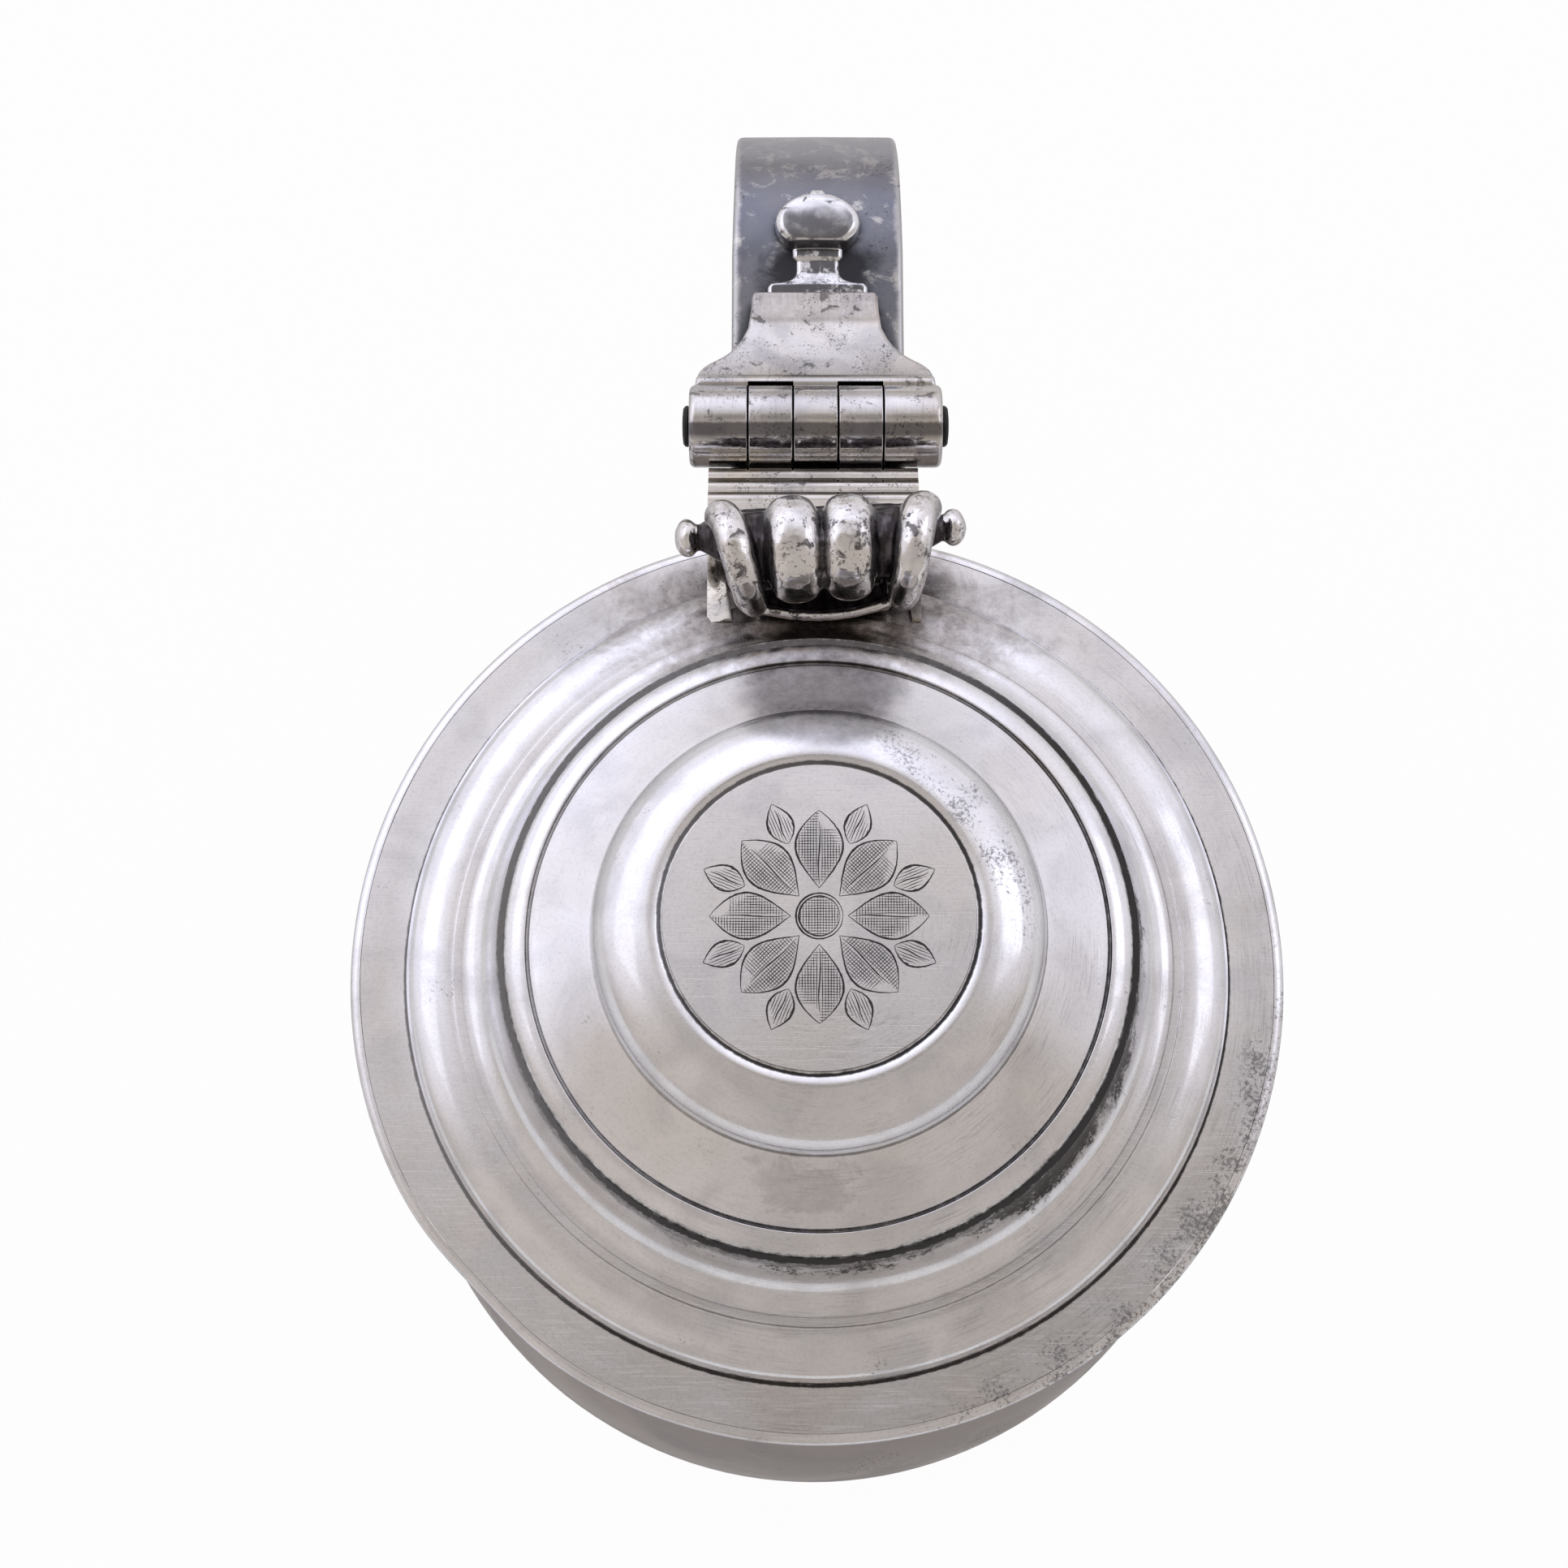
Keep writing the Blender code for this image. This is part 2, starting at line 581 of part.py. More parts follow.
def scroll_mesh(centre):
    """The ribbed scroll lying along X, its outer ribs leaning in towards the foot."""
    scroll = turned_mesh("scroll", scroll_profile(), False, SCROLL_SEGMENTS)
    for vertex in scroll.vertices:
        reach, rise, across = vertex.co
        lean = (1.0 - rise / SCROLL_RADIUS) / 2
        if HORN_TOP - HORN_WIDTH < abs(across) < HORN_EDGE + WELD:
            across *= 1.0 - lean * HORN_LEAN / HORN_TOP
        vertex.co = Vector((across, reach, rise)) + centre
    return face_out(scroll)


def make_thumbpiece(lid, lid_envelope):
    """Ribbed scroll with a boss at each end, a thin lip in front and a stem on the hinge plate."""
    centre = Vector((0.0, THUMB_REACH, FLANGE_TOP + THUMB_RISE))
    scroll = add_cutter("thumb_scroll", scroll_mesh(centre))
    plate_top = FLANGE_TOP + PLATE_HEIGHT + GAP
    half = THUMB_STEM / 2
    stem = [(THUMB_REACH - half, plate_top), (THUMB_REACH + half, plate_top),
            (THUMB_REACH + half / 2, centre.z), (THUMB_REACH - half / 2, centre.z)]
    stem_width = 2 * (HORN_FOOT - HORN_WIDTH / 2)
    front = arc((0.0, 0.0), HORN_FOOT, -THUMB_LIP, 0, 180, 2 * ARC_STEPS)
    lip = slab_mesh("thumb_lip", front, THUMB_LIP_THICKNESS)
    move(lip, (0.0, THUMB_REACH, plate_top + THUMB_LIP_RISE))
    boolean(scroll, "UNION", add_cutter("thumb_stem", side_slab_mesh("thumb_stem", stem, stem_width)))
    boolean(scroll, "UNION", add_cutter("thumb_lip", lip))
    boolean(scroll, "DIFFERENCE", lid_envelope)
    mesh = bake(scroll)
    smooth(mesh, 50.0)
    add_object("thumbpiece", mesh, lid, roughness=0.26)


# Handle


def trace_handle(back, inward):
    """Places, headings and scale along the strap's outer face, for the lengths of its two lower runs."""
    stations = [(HANDLE_START, HANDLE_TOP, radians(HANDLE_SLOPE))]

    def run(length):
        reach, rise, turn = stations[-1]
        stations.append((reach + length * cos(turn), rise + length * sin(turn), turn))

    def bend(radius, degrees, steps):
        for _ in range(steps):
            reach, rise, turn = stations[-1]
            swing = radians(degrees) / steps
            chord = 2 * radius * sin(abs(swing) / 2)
            middle = turn + swing / 2
            stations.append((reach + chord * cos(middle), rise + chord * sin(middle), turn + swing))

    run((ARM_REACH - HANDLE_START) / cos(radians(HANDLE_SLOPE)))
    bend(CROWN_RADIUS, -CROWN_TURN, 2 * ARC_STEPS)
    run(back)
    bend(SWEEP_RADIUS, -SWEEP_TURN, ARC_STEPS)
    run(inward)
    bend(TAIL_RADIUS, TAIL_TURN, 2 * ARC_STEPS)
    run(TAIL_LENGTH)
    first = 1 + 2 * ARC_STEPS
    last = len(stations) - 1
    path = []
    for index, station in enumerate(stations):
        share = max(0.0, (index - first) / (last - first))
        path.append((*station, 1.0 + (TAIL_TAPER - 1.0) * share))
    return path


def tail_turn(path):
    """The station of the tail that comes nearest to the body."""
    return min(path[-2 * ARC_STEPS - 2:], key=lambda station: station[0])


def handle_path():
    """The strap's line, with its two lower runs as long as it takes for the tail to meet its pad."""
    reach, height, _, scale = tail_turn(trace_handle(0.0, 0.0))
    attach = BODY_HEIGHT - ATTACH_DROP
    out = body_radius(attach) + PAD_THICKNESS + HANDLE_DEPTH * scale - reach
    up = attach - height
    back = radians(HANDLE_SLOPE - CROWN_TURN)
    inward = back - radians(SWEEP_TURN)
    spread = sin(inward - back)
    back_length = (out * sin(inward) - up * cos(inward)) / spread
    inward_length = (up * cos(back) - out * sin(back)) / spread
    return trace_handle(back_length, inward_length)


def sweep_mesh(name, path, section):
    """Carry a closed section, across and out from the strap's face, along the handle."""
    shape = bmesh.new()
    rings = []
    for reach, height, heading, scale in path:
        normal = Vector((0.0, -sin(heading), cos(heading)))
        place = Vector((0.0, reach, height))
        ring = []
        for across, out in section:
            sideways = Vector((across * scale, 0.0, 0.0))
            ring.append(shape.verts.new(place + sideways + normal * out * scale))
        rings.append(ring)
    count = len(section)
    for near, far in zip(rings, rings[1:]):
        for index in range(count):
            following = (index + 1) % count
            shape.faces.new((near[index], near[following], far[following], far[index]))
    shape.faces.new(rings[0])
    shape.faces.new(rings[-1])
    bmesh.ops.recalc_face_normals(shape, faces=shape.faces)
    mesh = bpy.data.meshes.new(name)
    shape.to_mesh(mesh)
    shape.free()
    smooth(mesh)
    return mesh


def strap_section():
    half = HANDLE_WIDTH / 2
    corner = STRAP_THICKNESS / 3
    low = -STRAP_THICKNESS
    return [(-half, low), (half, low), (half, -corner), (half - corner, 0.0),
            (corner - half, 0.0), (-half, -corner)]


def shell_curve(grow):
    """Rounded underside of the handle, from one edge of the strap to the other."""
    half = HANDLE_WIDTH / 2 - SHELL_INSET + grow
    deep = HANDLE_DEPTH - STRAP_THICKNESS - GAP + grow
    return arc((0.0, -STRAP_THICKNESS - GAP), half, deep, 180, 360, 2 * ARC_STEPS)


def body_cutter():
    profile = [(0.0, BODY_HEIGHT)] + body_line(GAP) + [(0.0, -GAP)]
    return add_cutter("body_envelope", turned_mesh("body_envelope", profile, False))


def make_handle(body_envelope):
    """Flat strap outside, hollow rounded shell inside, both coped to the body."""
    path = handle_path()
    sections = (("handle_strap", strap_section(), DARK, 0.42),
                ("handle_shell", shell_curve(0.0) + shell_curve(-SHELL_WALL)[::-1], WORN, 0.34))
    for name, section, colour, roughness in sections:
        blank = add_cutter(name + "_blank", sweep_mesh(name, path, section))
        boolean(blank, "DIFFERENCE", body_envelope)
        mesh = bake(blank)
        smooth(mesh)
        add_object(name, mesh, colour=colour, roughness=roughness)


def make_handle_pad(body_envelope):
    """Oval pad between the bowl and the turn of the tail."""
    path = handle_path()
    reach, height = tail_turn(path)[:2]
    outline = oval((0.0, height), PAD_WIDTH / 2, PAD_HEIGHT / 2, BARREL_SEGMENTS)
    pad = slab_mesh("pad", outline, 2 * HANDLE_DEPTH)
    for vertex in pad.vertices:
        across, rise, along = vertex.co
        vertex.co = (across, reach - HANDLE_DEPTH + along, rise)
    blank = add_cutter("handle_pad_blank", face_out(pad))
    grown = shell_curve(GAP)
    grown = [(grown[0][0], HANDLE_DEPTH)] + grown + [(grown[-1][0], HANDLE_DEPTH)]
    envelope = add_cutter("handle_envelope", sweep_mesh("handle_envelope", path, grown))
    boolean(blank, "DIFFERENCE", body_envelope)
    boolean(blank, "DIFFERENCE", envelope)
    add_object("handle_pad", bake(blank), colour=WORN, roughness=0.36)


def make_handle_terminal():
    """Shield-shaped plate closing the tail, with the vent that a hollow handle needs."""
    reach, height, heading, scale = handle_path()[-1]
    half = HANDLE_WIDTH / 2 * scale + TERMINAL_MARGIN
    deep = HANDLE_DEPTH * scale + TERMINAL_MARGIN
    shield = [(half, TERMINAL_MARGIN)] + [(-half, TERMINAL_MARGIN)]
    shield += arc((0.0, 0.0), half, deep, 180, 360, 2 * ARC_STEPS)
    hole = oval((0.0, -deep / 2), VENT_RADIUS, VENT_RADIUS, BARREL_SEGMENTS // 2)
    plate = slab_mesh("handle_terminal", shield, TERMINAL_THICKNESS, (hole,))
    along = Vector((0.0, cos(heading), sin(heading)))
    normal = Vector((0.0, -sin(heading), cos(heading)))
    place = Vector((0.0, reach, height)) + along * (GAP + TERMINAL_THICKNESS / 2)
    for vertex in plate.vertices:
        across, out, depth = vertex.co
        vertex.co = place + Vector((across, 0.0, 0.0)) + normal * out + along * depth
    add_object("handle_terminal", face_out(plate), colour=WORN, roughness=0.32)


def strap_cutter():
    """Everything under the strap's face, raised by the seat gap."""
    wide = LEAF_ROOT_WIDTH
    section = [(-wide, -HANDLE_DEPTH), (wide, -HANDLE_DEPTH), (wide, GAP), (-wide, GAP)]
    path = handle_path()[:2 * ARC_STEPS]
    return add_cutter("strap_envelope", sweep_mesh("strap_envelope", path, section))


def strap_height(reach):
    """Height of the strap's outer face along its straight arm."""
    slope = radians(HANDLE_SLOPE)
    return HANDLE_TOP + (reach - HANDLE_START) * sin(slope) / cos(slope)


def leaf_tip():
    return HINGE_REACH + BARREL_RADIUS + LEAF_LENGTH


def make_handle_leaf(strap_envelope):
    """Flared leaf behind the barrel with a bead along its root and a sloping back."""
    root = HINGE_REACH + BARREL_RADIUS
    tip = leaf_tip()
    flare = []
    for step in range(ARC_STEPS + 1):
        share = step / ARC_STEPS
        wide = LEAF_TIP_WIDTH + (LEAF_ROOT_WIDTH - LEAF_TIP_WIDTH) * (1.0 - share) ** 2
        flare.append((wide / 2, root + LEAF_BEAD + (tip - root - LEAF_BEAD) * share))
    half = LEAF_ROOT_WIDTH / 2
    right = [(half, HINGE_REACH)] + flare
    outline = right + [(-across, along) for across, along in reversed(right)]
    tall = LEAF_ROOT_WIDTH
    plan = move(slab_mesh("handle_leaf", outline, 2 * tall), (0.0, 0.0, FLANGE_TOP))
    blank = add_cutter("handle_leaf_blank", plan)
    top = FLANGE_TOP + LEAF_ROOT_RISE
    tip_top = strap_height(tip) + GAP + LEAF_TIP_THICKNESS
    bead = arc((root, top - LEAF_BEAD), LEAF_BEAD, LEAF_BEAD, 150, 0, 4)
    fold = tip - LEAF_LENGTH / 3
    side = [(HINGE_REACH, strap_height(HINGE_REACH)), (HINGE_REACH, top - LEAF_BEAD)] + bead
    past = tip + LEAF_BEAD
    side += [(fold, tip_top + LINE_STEP), (past, tip_top), (past, strap_height(tip))]
    side_mesh = side_slab_mesh("handle_leaf_side", side, 2 * LEAF_ROOT_WIDTH)
    profile = add_cutter("handle_leaf_side", side_mesh)
    boolean(blank, "INTERSECT", profile)
    for cutter in [strap_envelope] + barrel_cutters("leaf_cope", 0):
        boolean(blank, "DIFFERENCE", cutter)
    add_object("handle_leaf", bake(blank), roughness=0.3)


def drop_profile():
    """Half-widths along the drop from the finial back to the tier that meets the leaf."""
    ball = DROP_BALL_LENGTH / 2
    neck = DROP_NECK_WIDTH / 2
    tier = DROP_TIER_WIDTH / 2
    length = 2 * ball + DROP_NECK_LENGTH + DROP_TIER_LENGTH
    opening = degrees(acos(DROP_TIP_RADIUS / (DROP_BALL_WIDTH / 2)))
    line = [(0.0, length + DROP_TIP_RADIUS), (DROP_TIP_RADIUS, length + DROP_TIP_RADIUS)]
    line += arc((0.0, length - ball), DROP_BALL_WIDTH / 2, ball, opening, -50, ARC_STEPS + 2)
    foot = DROP_TIER_LENGTH
    top = foot + DROP_NECK_LENGTH
    line += [(neck + LINE_STEP, top), (neck, top - LINE_STEP)]
    half = DROP_NECK_LENGTH / 2
    line += arc((tier, foot + half), tier - neck, half, 180, 270, 3)
    return line + [(tier, 0.0), (0.0, 0.0)]


def make_handle_drop(strap_envelope):
    """Tier, neck, flattened ball and finial in relief on the strap."""
    drop = turned_mesh("handle_drop", drop_profile(), False, BARREL_SEGMENTS)
    start = leaf_tip() + GAP
    for vertex in drop.vertices:
        across, depth, along = vertex.co
        reach = start + along
        flat = -depth * DROP_FLATNESS
        vertex.co = (across, reach, min(strap_height(reach), strap_height(ARM_REACH)) + flat)
    blank = add_cutter("handle_drop_blank", drop)
    boolean(blank, "DIFFERENCE", strap_envelope)
    mesh = bake(blank)
    smooth(mesh)
    add_object("handle_drop", mesh, colour=WORN, roughness=0.32)


def make_tankard():
    lid = bpy.data.objects.new("lid_hinge", None)
    lid.location = HINGE
    parts.objects.link(lid)
    make_body_wall()
    make_lip_moulding()
    make_foot()
    make_foot_wire()
    make_lid_skirt(lid)
    make_lid_rim_wire(lid)
    make_lid_dome(lid)
    make_lid_bezel(lid)
    make_knuckles(lid)
    make_pin()
    lid_envelope = lid_cutter()
    make_hinge_plate(lid, lid_envelope)
    make_thumbpiece(lid, lid_envelope)
    body_envelope = body_cutter()
    make_handle(body_envelope)
    make_handle_pad(body_envelope)
    make_handle_terminal()
    strap_envelope = strap_cutter()
    make_handle_leaf(strap_envelope)
    make_handle_drop(strap_envelope)


clear_scene()
parts = new_collection("tankard")
cutters = new_collection("cutters")
make_tankard()
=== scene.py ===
# Lidded silver tankard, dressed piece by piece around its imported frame
import json
import random
from functools import partial, reduce
from math import asin, atan2, copysign, cos, degrees, exp, hypot, pi, radians, sin, sqrt, tan
import bpy
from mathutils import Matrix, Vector


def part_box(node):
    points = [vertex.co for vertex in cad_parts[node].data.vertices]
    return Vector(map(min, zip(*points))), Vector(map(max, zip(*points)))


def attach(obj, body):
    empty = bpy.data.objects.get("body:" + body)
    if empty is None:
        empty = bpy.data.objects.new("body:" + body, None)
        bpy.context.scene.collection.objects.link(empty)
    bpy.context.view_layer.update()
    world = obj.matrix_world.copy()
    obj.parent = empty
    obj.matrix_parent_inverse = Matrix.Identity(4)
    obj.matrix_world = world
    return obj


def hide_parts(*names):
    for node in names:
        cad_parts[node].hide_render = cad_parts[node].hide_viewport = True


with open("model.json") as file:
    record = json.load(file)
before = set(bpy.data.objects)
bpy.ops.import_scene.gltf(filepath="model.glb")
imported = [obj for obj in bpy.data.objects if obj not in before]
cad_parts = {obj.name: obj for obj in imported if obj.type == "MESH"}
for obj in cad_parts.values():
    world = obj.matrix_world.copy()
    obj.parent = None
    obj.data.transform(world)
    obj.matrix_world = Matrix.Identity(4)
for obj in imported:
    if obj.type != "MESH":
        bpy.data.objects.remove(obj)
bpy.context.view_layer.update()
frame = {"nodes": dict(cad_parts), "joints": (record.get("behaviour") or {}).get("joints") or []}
mm = 0.001
hinge = Vector(frame["joints"][0]["pos_m"])
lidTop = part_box("lid_rim_wire")[1].z / mm  # top face of the flange, in mm
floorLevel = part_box("foot")[0].z
print("frame loaded, lid top at", round(lidTop, 2), "mm")


# helpers for drawing and for operators

def blend(start, end, share):
    return start + (end - start) * share


def arc(share):
    # height of a unit circle this far from its middle
    return sqrt(max(0, 1 - share * share))


def evenly(start, end, steps):
    return [start + (end - start) * i / steps for i in range(steps + 1)]


def bow(centre, across, up, start, end, steps):
    # points on an ellipse arc, degrees from straight out
    turns = evenly(radians(start), radians(end), steps)
    return [(centre[0] + across * cos(t), centre[1] + up * sin(t)) for t in turns]


def soften(line, radius, least=25):
    # rounds corners that turn by more than least degrees
    done = [line[0]]
    for before, corner, after in zip(line, line[1:], line[2:]):
        here = Vector(corner)
        back, on = Vector(before) - here, Vector(after) - here
        if back.length < 1e-6 or on.length < 1e-6 or 180 - degrees(back.angle(on)) < least:
            done.append(corner)
            continue
        start = here + back.normalized() * min(radius, back.length * 0.45)
        end = here + on.normalized() * min(radius, on.length * 0.45)
        for share in evenly(0, 1, 4):
            done.append(tuple(start.lerp(here, share).lerp(here.lerp(end, share), share)))
    return done + [line[-1]]


def setMode(mode):
    if bpy.context.object and bpy.context.object.mode != mode:
        bpy.ops.object.mode_set(mode=mode)


def pick(*pieces):
    # selects these alone, the first one active
    setMode("OBJECT")
    bpy.ops.object.select_all(action="DESELECT")
    for piece in pieces:
        piece.select_set(True)
        bpy.context.view_layer.objects.active = pieces[0]


def startFrom(kind, name, **settings):
    pick()
    getattr(bpy.ops.mesh, "primitive_" + kind + "_add")(**settings)
    bpy.context.object.name = name
    return bpy.context.object


def editAll():
    setMode("EDIT")
    bpy.ops.mesh.select_all(action="SELECT")


def extrude(step):
    bpy.ops.mesh.extrude_region_move(TRANSFORM_OT_translate={"value": step})


def drawLine(name, places):
    # a plane merged to one vertex, extruded from place to place and left in edit mode
    piece = startFrom("plane", name, size=mm)
    editAll()
    bpy.ops.mesh.merge(type="CENTER")
    bpy.ops.transform.translate(value=places[0])
    for here, there in zip(places, places[1:]):
        extrude(there - here)
    editAll()
    return piece


def closeUp(piece):
    # merges doubles, turns faces outwards and leaves edit mode
    editAll()
    bpy.ops.mesh.remove_doubles(threshold=0.002 * mm)
    bpy.ops.mesh.normals_make_consistent(inside=False)
    setMode("OBJECT")
    return piece


def turnOnLathe(name, line, steps, axis="Z", centre=(0, 0, 0)):
    # line is (radius, along) in mm, spun about X or Z
    along, out = Vector((0, 0, 1)), Vector((1, 0, 0))
    if axis == "X":
        along, out = Vector((1, 0, 0)), Vector((0, 1, 0))
    piece = drawLine(name, [Vector(centre) + (out * radius + along * rise) * mm for radius, rise in line])
    bpy.ops.mesh.spin(steps=steps, angle=2 * pi, center=centre, axis=along)
    return closeUp(piece)


def sweepSection(name, section, stations):
    # section is (across, out) in mm; a station is (across, reach, height, heading, scale)
    piece = startFrom("circle", name, vertices=len(section), radius=mm, fill_type="NGON")
    across, reach, height, heading, scale = stations[0]
    turn = radians(heading)
    up = Vector((0, -sin(turn), cos(turn)))
    for vertex, (side, out) in zip(piece.data.vertices, section):
        vertex.co = (Vector((across + side * scale, reach, height)) + up * out * scale) * mm
    editAll()
    for old, new in zip(stations, stations[1:]):
        place = Vector(new[:3]) * mm
        swing, grow = old[3] - new[3], new[4] / old[4]
        extrude((Vector(new[:3]) - Vector(old[:3])) * mm)
        if abs(swing) > 1e-6:  # without a window rotate turns the other way
            bpy.ops.transform.rotate(value=radians(swing), orient_axis="X", center_override=place)
        if abs(grow - 1) > 1e-6:
            bpy.ops.transform.resize(value=(grow, grow, grow), center_override=place)
    return closeUp(piece)


def drawSolid(name, outline, width, shift=0):
    # side outline of (reach, height) in mm, filled and extruded across X
    piece = drawLine(name, [Vector((shift - width / 2, reach, height)) * mm for reach, height in outline])
    bpy.ops.mesh.edge_face_add()
    extrude((width * mm, 0, 0))
    return closeUp(piece)


def addBlock(middle, size, lean=0):
    # a box in mm, leaning about Y
    piece = startFrom("cube", "block", size=1, location=Vector(middle) * mm, rotation=(0, lean, 0),
                      scale=[length * mm for length in size])
    bpy.ops.object.transform_apply(location=True, rotation=True, scale=True)
    return piece


def formGrid(name, columns, rows, place, under):
    # a grid laid out by place(side, share) in mm, closed below at the height under(reach)
    piece = startFrom("grid", name, x_subdivisions=columns, y_subdivisions=rows, size=2)
    for vertex in piece.data.vertices:
        vertex.co = Vector(place(vertex.co.x, (vertex.co.y + 1) / 2)) * mm
    editAll()
    extrude((0, 0, -mm))
    setMode("OBJECT")
    for vertex in piece.data.vertices:
        if vertex.select:
            vertex.co.z = under(vertex.co.y / mm) * mm
    return closeUp(piece)


def addObject(name, data):
    holder = bpy.data.objects.new(name, data)
    bpy.context.scene.collection.objects.link(holder)
    return holder


def drawWires(name, lines, thick, rings):
    # wires through points of (x, y, z, weight), made into a mesh
    curve = bpy.data.curves.new(name, "CURVE")
    curve.dimensions = "3D"
    curve.bevel_depth = thick * mm
    curve.bevel_resolution = rings
    curve.use_fill_caps = True
    for line in lines:
        spline = curve.splines.new("POLY")
        spline.points.add(len(line) - 1)
        for point, (x, y, z, weight) in zip(spline.points, line):
            point.co = (x * mm, y * mm, z * mm, 1)
            point.radius = weight
    pick(addObject(name, curve))
    bpy.ops.object.convert(target="MESH")
    return bpy.context.object


def applyStep(piece, kind, **settings):
    # sets a modifier and applies it
    pick(piece)
    step = piece.modifiers.new(kind.lower(), kind)
    for key, value in settings.items():
        setattr(step, key, value)
    bpy.ops.object.modifier_apply(modifier=step.name)


def cutAway(piece, cutters):
    for cutter in cutters:
        applyStep(piece, "BOOLEAN", operation="DIFFERENCE", solver="EXACT", object=cutter)
        bpy.data.objects.remove(cutter, do_unlink=True)


def joinUp(name, lumps):
    pick(*lumps)
    bpy.ops.object.join()
    lumps[0].name = name
    return lumps[0]


def handWork(piece, depth, size):
    # faint unevenness of raised metal: depth and size in mm
    grain = bpy.data.textures.new(piece.name + "_raising", "CLOUDS")
    grain.noise_scale = size * mm
    grain.noise_depth = 1
    applyStep(piece, "DISPLACE", texture=grain, strength=depth * mm, mid_level=0.5)


def dress(piece, body, finish, slot, *nodes, angle=32):
    # gives a piece its metal, its body and the nodes it stands for
    pick(piece)
    bpy.ops.object.shade_smooth_by_angle(angle=radians(angle))
    piece.data.materials.clear()
    piece.data.materials.append(finish)
    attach(piece, body)
    if nodes:
        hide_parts(*nodes)


# materials: sorts of node as (kind, settings)
noise, cells, parts, joined, coords, drawn, rays, bump = ((kind, {}) for kind in (
    "TexNoise", "TexVoronoi", "SeparateXYZ", "CombineXYZ", "TexCoord", "Mapping", "LightPath", "Bump"))
placed = ("Mapping", {"vector_type": "TEXTURE"})
smooth = ("MapRange", {"interpolation_type": "SMOOTHSTEP"})
mix = ("Mix", {"data_type": "RGBA"})
plus, minus, times, timesPlus, most, size, bearing = (("Math", {"operation": kind}) for kind in (
    "ADD", "SUBTRACT", "MULTIPLY", "MULTIPLY_ADD", "MAXIMUM", "ABSOLUTE", "ARCTAN2"))
shifted, spread, scaled, dot, length = (("VectorMath", {"operation": kind}) for kind in (
    "ADD", "MULTIPLY", "SCALE", "DOT_PRODUCT", "LENGTH"))


def hexColour(code):
    # sRGB hex to linear
    shares = [int(code[i:i + 2], 16) / 255 for i in (1, 3, 5)]
    return tuple(c / 12.92 if c <= 0.04045 else ((c + 0.055) / 1.055) ** 2.4 for c in shares) + (1,)


def feed(node, inputs):
    # an input is a socket to link, a hex colour or a plain value
    for key, value in inputs.items():
        if isinstance(value, bpy.types.NodeSocket):
            node.id_data.links.new(value, node.inputs[key])
        else:
            node.inputs[key].default_value = hexColour(value) if isinstance(value, str) else value


def addNode(tree, sort, *inputs, out=None, **named):
    # one node, fed in order or by name; gives the output asked for or the first
    kind, settings = sort
    node = tree.nodes.new("ShaderNode" + kind)
    for key, value in settings.items():
        setattr(node, key, value)
    shown = [i for i, socket in enumerate(node.inputs) if socket.enabled]
    feed(node, {**dict(zip(shown, inputs)), **named})
    return node.outputs[out] if out else next(socket for socket in node.outputs if socket.enabled)


def newMaterial(name):
    # with it go a short way to add its nodes, its shader and the place in mm
    material = bpy.data.materials.new(name)
    material.use_nodes = True
    put = partial(addNode, material.node_tree)
    inMm = put(scaled, put(coords, out="Object"), 1 / mm)
    return material, put, material.node_tree.nodes["Principled BSDF"], inMm


# what the silvers have in common: sizes in mm, shares from 0 to 1
silverLook = {
    "strokes": (3.0, 0.12, 3.0), "film": 6, "haze": 0.2, "warm": 0.3, "streak": 0.3, "stroke": 0.3, "grain": 0.12,
    "open": 0.62, "shut": 0.30, "patch": 3.0, "blotch": 0.56, "blotchDepth": 0.75, "cluster": 5, "clear": 0.46,
    "pit": 0.55, "pitDepth": 0.7, "stains": (), "soot": 0.22, "rough": 0.05, "dull": 0.12, "relief": 0.16}


